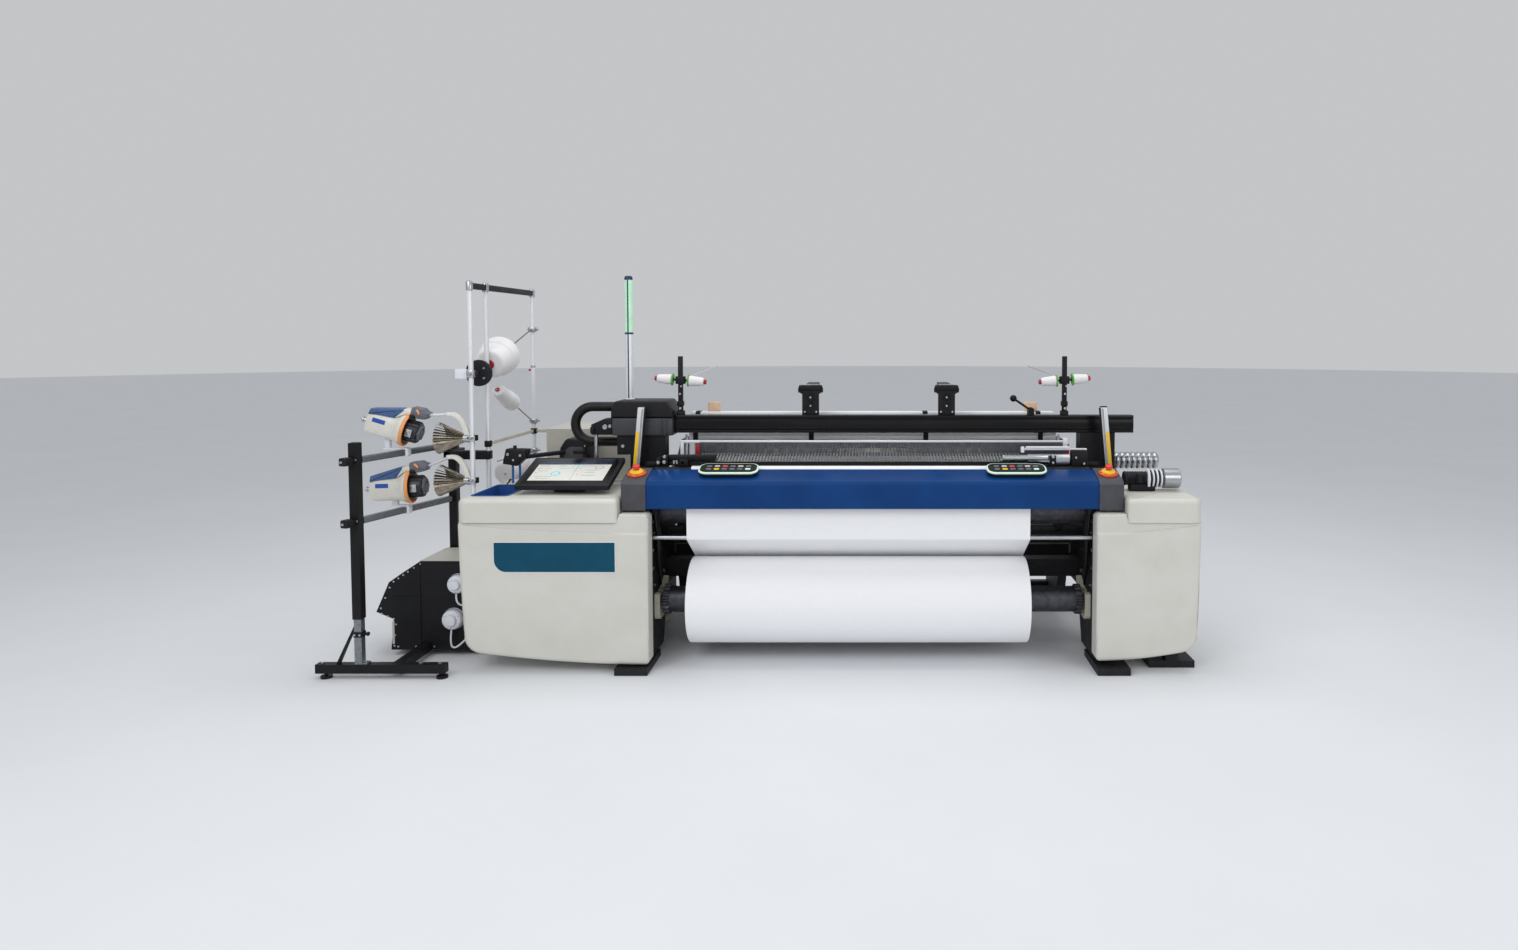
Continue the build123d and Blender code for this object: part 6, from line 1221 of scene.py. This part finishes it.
tube = outline([(-15, -15, 4), (15, -15, 4), (15, 15, 4), (-15, 15, 4)], 4)
covers = [slab(tube, 30, 640, rail_axes, (*RAIL_FOOT, z), soft=1) for z in RAIL_HEIGHTS]
piece("stand_rail_tubes", covers, zinc)
plug = outline([(-19, -19, 7), (19, -19, 7), (19, 19, 7), (-19, 19, 7)], 5)
ends = [slab(plug, -80, -36, rail_axes, (*RAIL_FOOT, z), soft=5) for z in RAIL_HEIGHTS]
collar = bricks((-2426, -2382, -130, -86, 196, 222, 4), (-2422, -2386, -126, -90, 1104, 1110, 3))
collar += [rod((-2382, -108, 209), (-2366, -108, 209), 7, 16), rod((-2370, -108, 209), (-2358, -108, 209), 10, 20, 3)]
piece("stand_black_fittings", ends + collar, black_abs)
fasten = bolts([(x, z, 5) for x in (-2416, -2392) for z in (1030, 744)], -132, -126)
fasten += bolts([(x, 209, 5) for x in (-2416, -2392)], -134, -129)
fasten += bolts([(-2427, z, 6) for z in RAIL_HEIGHTS], -190, -185)
fasten += [turned([(0, 9), (5, 9), (7, 6)], (x, -108, 68), UP, 6) for x in (-2580, -2372, -2120, -2030)]
fasten += [turned([(0, 8), (5, 8), (7, 5)], (x, -108, 76), UP, 6) for x in (-2384, -2372)]
fasten += [rod((-2427, -108, z), (-2422, -108, z), 5, 12) for z in (320, 420, 520)]
piece("stand_bolts", fasten, steel)
print("guard and stand made")

# %% [markdown]
# At the right end: the crimped aluminium duct and the selvedge winder with its bright end drum.

# %% Duct and selvedge winder
CRIMP, CRIMPS = 29, 12
crimp = np.concatenate([[(CRIMP * k, 37), (CRIMP * k + 4, 43), (CRIMP * k + 9, 46), (CRIMP * k + 18, 46),
                         (CRIMP * k + 24, 43)] for k in range(CRIMPS)])
duct = np.concatenate([[(0, 20), (0, 39)], crimp[1:], [(CRIMP * CRIMPS, 38), (CRIMP * CRIMPS, 20)]])
piece("duct_crimped", turned(duct, (1180, 582, 936), RIGHT, 56), foil_duct, stands_for=["waste_duct"])
piece("duct_foot", brick(1080, 1224, 562, 602, 874, 912, 4), black_coat, stands_for=["waste_duct"])
WINDER = (1246, 190.0, 898.0)
fins = [(10 + 6 * k, 35 - 3 * (k % 2)) for k in range(16)]
motor = turned([(0, 20), (0, 32), (4, 35)] + fins + [(110, 35), (114, 30), (114, 10)], WINDER, RIGHT, 40)
feet = bricks((1272, 1400, 164, 216, 836, 872, 5), (1300, 1330, 140, 160, 880, 930, 4))
bands = [turned([(k, 40), (k + 10, 40)], WINDER, RIGHT, 40) for k in (125, 145, 165)]
piece("winder_motor", [motor, *feet, *bands], black_abs, stands_for=["selvedge_motor"])
plates = [turned([(k, 44), (k + 1, 46), (k + 7, 46), (k + 8, 44)], WINDER, RIGHT, 40) for k in (116, 136, 156, 176)]
piece("winder_plates", [*plates, brick(1356, 1368, 142, 160, 862, 934, 3)], white_unit,
      stands_for=["selvedge_motor"])
drum = [(112, 14), (192, 14), (192, 46), (195, 50), (270, 50), (274, 47), (274, 40), (270, 38), (270, 10)]
piece("winder_drum", turned(drum, WINDER, RIGHT, 56), steel, stands_for=["selvedge_motor"])
print("duct and winder made")

# %% [markdown]
# Fittings of the weaving zone: guide bosses, blocks at both reed ends, and bolts and hoses on the side walls.

# %% Fittings
GUIDE_FOOT = 1180


def at_end(side, rows, soft=3.0):
    """Blocks drawn for the right end, on the side -1 or 1."""
    return [brick(*sorted((side * row[0], side * row[1])), *row[2:], soft) for row in rows]


extrusion = outline([(440, 1098, 5), (440, 1108, 2), (444, 1110, 1), (444, 1115, 1), (440, 1117, 2), (440, 1166, 2),
                     (444, 1168, 1), (444, 1174, 1), (440, 1176, 2), (440, 1190, 5), (510, 1190, 5),
                     (510, 1098, 5)][::-1], 3)
ear = [(814, 1186, 1), (846, 1186, 1), (846, 1230, 15), (814, 1230, 15)]
ears = [cut(ear, y, y + 8, soft=1.0, bends=8) for y in (454.5, 487.5)] + bolts([(830, 1214, 5)], 451, 499, 16)
piece("top_beam_extrusion", [slab(extrusion, -1200, 1362, YZ, soft=1.0), *ears], black_gloss,
      stands_for=["top_beam"])
bosses, heads = [], []
for x in (-326.0, 390.0):
    bosses += [hoop([(0, 15), (0, 21), (3, 20), (4, 18), (3, 16)], (x, 484, GUIDE_FOOT + rise), FRONT, 32)
               for rise in (56, 100)]
    bosses += bricks((x - 62, x + 62, 478, 512, 1316, 1345, 6), (x - 66, x - 52, 482, 508, 1306, 1332, 5),
                     (x + 52, x + 66, 482, 508, 1306, 1332, 5))
    heads += bolts([(x + dx, GUIDE_FOOT + rise, 5) for dx, rise in ((0, 56), (0, 100), (-30, 24), (30, 24))], 478, 485)
    heads.append(brick(x - 40, x + 40, 512, 560, 1338, 1346, 2))
piece("guide_bosses", bosses, black_coat)
piece("guide_screws", heads, steel)
END_BLOCKS = ((1030, 1190, 300, 336, 904, 936), (1060, 1150, 310, 420, 936, 962), (1100, 1180, 386, 426, 876, 956),
              (1036, 1070, 262, 300, 890, 930), (1140, 1186, 250, 330, 874, 908), (1040, 1076, 60, 100, 740, 778),
              (1046, 1076, 160, 260, 540, 580), (1046, 1076, 230, 330, 660, 700))
FRONT_BOLTS = ((1050, 920, 8), (1088, 920, 6), (1126, 920, 8), (1168, 916, 6))
WALL_BOLTS = ((92, 700, 9), (120, 640, 7), (92, 560, 9), (240, 600, 8), (300, 520, 7), (92, 470, 8), (330, 400, 9),
              (120, 380, 7))
blocks, silver, whites, hoses = [], [], [], []
for side in (-1, 1):
    blocks += at_end(side, END_BLOCKS)
    silver += bolts([(side * x, z, r) for x, z, r in FRONT_BOLTS], 292, 302, 14)
    silver.append(rod((side * 1090, 330, 962), (side * 1090, 330, 984), 7, 16))
    silver += [rod((side * 1066, y, z), (side * 1076, y, z), r, 12) for y, z, r in WALL_BOLTS]
    whites += at_end(side, [(984, 998, 540, 556, 930, 1080)])
    for shift, low in ((0, 420), (26, 360), (52, 470)):
        line = curve((side * 1064, 90 + shift, 780), (side * 1040, 70 + shift, 640),
                     (side * 1052, 130 + shift, low + 90), (side * 1064, 190 + shift, low), 40)
        hoses.append(swept(line, 7.0, 14, up=(1.0, 0, 0)))
piece("end_blocks", blocks, black_coat)
piece("end_bolts", silver, steel)
piece("end_brackets", whites, white_unit)
reed_ends = bricks((-906, -886, 346, 364, 986, 1050, 3), (994, 1010, 346, 364, 986, 1050, 3))
piece("reed_ends", reed_ends, tip_red, "sley")
piece("wall_hoses", hoses, rubber)
print("fittings made")

# %% [markdown]
# Warp threads. Every heald frame carries its own threads. In front they leave the fell, pass between two dents
# just above the low baulk and go on to the frame's eyes; behind they run to the warp's end.

# %% Warp threads
EYE_LIFT, REED_FRONT, REED_BACK, HELD = 55.0, 350.0, 364.0, 308.0
THREAD, THREAD_LEFT, THREAD_STEP = 0.35, -880.0, 4.0
OVER_BAULK = (986.0, 986.0, 1002.0, 1002.0)
thread_white = coat("spun_cotton_thread", "#EFEDE6", "#E3E1DA", 0.8, 6, 0.6, 0.1)


def threads(line, x):
    """Square threads along a bent line in y and z, one for each x; every straight run is a prism of its own."""
    runs = []
    for near, far in zip(line[:-1], line[1:]):
        run = unit(np.subtract(far, near))
        wide = np.array([-run[1], run[0]]) * THREAD
        corner = [(end[0] + way * wide[0], end[1] + way * wide[1], shift) for end in (near, far)
                  for way, shift in ((-1, -THREAD), (-1, THREAD), (1, THREAD), (1, -THREAD))]
        runs.append(blocks_of(np.stack([spread(x + shift, y, z) for y, z, shift in corner], 1)))
    return together(*runs)


for index in range(4):
    y = HEALD_FIRST + index * HEALD_STEP + HEALD_DEEP / 2
    eye, over = HEALD_TOP[index] - HEALD_TALL / 2 + EYE_LIFT, OVER_BAULK[index]
    x = np.arange(THREAD_LEFT + THREAD_STEP * index, CLOTH_RIGHT - 2, 4 * THREAD_STEP)
    front = [(FELL, CLOTH_Z), (REED_FRONT, over), (REED_BACK, over), (y, eye)]
    for label, line, start in (("front", front, HELD), ("rear", [(WARP_END, CLOTH_Z), (y, eye)], WARP_END)):
        made = piece(f"threads_{label}_{index + 1}", threads(line, x), thread_white, None)
        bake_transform(made)
print("warp threads made")

# %% [markdown]
# The stage: a wide pale floor, an even sky and four large lamps at a plain level,
# so that a colour renders about as it is written.

# %% Floor and light
stage_grey = coat("matt_studio_paper", "#E4E6E9", "#E1E3E6", 0.9, 900, 6.0, 0.02, swing=0.02)
FLOOR_RINGS = (1.0, 6000.0, 45000.0)
around = np.linspace(0, 2 * np.pi, 96, endpoint=False)
circle = np.column_stack([np.cos(around), np.sin(around), 0 * around])
floor = piece("studio_floor", loft(np.stack([reach * circle for reach in FLOOR_RINGS]), capped=False), stage_grey)
floor.parent = None


def lamp(name, place, aim, size, power):
    """A large soft lamp at a place in loom metres, aimed at a point."""
    data = bpy.data.lights.new(name, "AREA")
    data.shape, data.size, data.size_y, data.energy = "RECTANGLE", size[0], size[1], power
    made = bpy.data.objects.new(name, data)
    made.location = np.array(place) + HOME
    made.rotation_euler = Vector(np.subtract(aim, place)).to_track_quat("-Z", "Y").to_euler()
    bpy.context.scene.collection.objects.link(made)


lamp("key", (-2.6, -4.2, 4.2), (0.0, 0.2, 0.8), (3.2, 2.4), 84)
lamp("fill", (3.6, -3.8, 2.6), (0.2, 0.3, 0.8), (2.6, 2.4), 38)
lamp("front", (0.2, -4.9, 1.2), (0.0, 0.3, 0.9), (3.4, 1.4), 8)
lamp("top", (0.0, 0.6, 4.6), (0.0, 0.5, 0.0), (5.0, 2.6), 84)
world = bpy.data.worlds.new("studio_sky")
bpy.context.scene.world = world
world.use_nodes = True
world.node_tree.nodes["Background"].inputs["Color"].default_value = linear("#F2F4F7")
world.node_tree.nodes["Background"].inputs["Strength"].default_value = 0.62
print("floor, sky and four lamps made")

# %% [markdown]
# The camera stands where the photographer stood: 4.5 m in front of the breast beam at eye height, looking a
# little down, with the lens shifted so that the loom sits low and left of the optical axis.

# %% Camera
SHOT_WIDTH, SHOT_FOCUS, AXIS_X, AXIS_Y = 1518.0, 950.0, 872.5, 380.0
SHOT_MIDDLE, SENSOR, DIP = (759.0, 475.0), 36.0, 2.7
camera = bpy.data.objects.new("camera", bpy.data.cameras.new("camera"))
bpy.context.scene.collection.objects.link(camera)
camera.data.sensor_width = SENSOR
camera.data.lens = SENSOR * SHOT_FOCUS / SHOT_WIDTH
camera.data.shift_x = (SHOT_MIDDLE[0] - AXIS_X) / SHOT_WIDTH
camera.data.shift_y = (AXIS_Y - SHOT_MIDDLE[1]) / SHOT_WIDTH
camera.location = np.array([0.0, -4.5, 1.607]) + HOME
camera.rotation_euler = (math.radians(90 - DIP), 0.0, 0.0)
bpy.context.scene.camera = camera
bpy.context.scene.view_settings.view_transform = "Standard"
print("camera of", round(camera.data.lens, 2), "mm made")
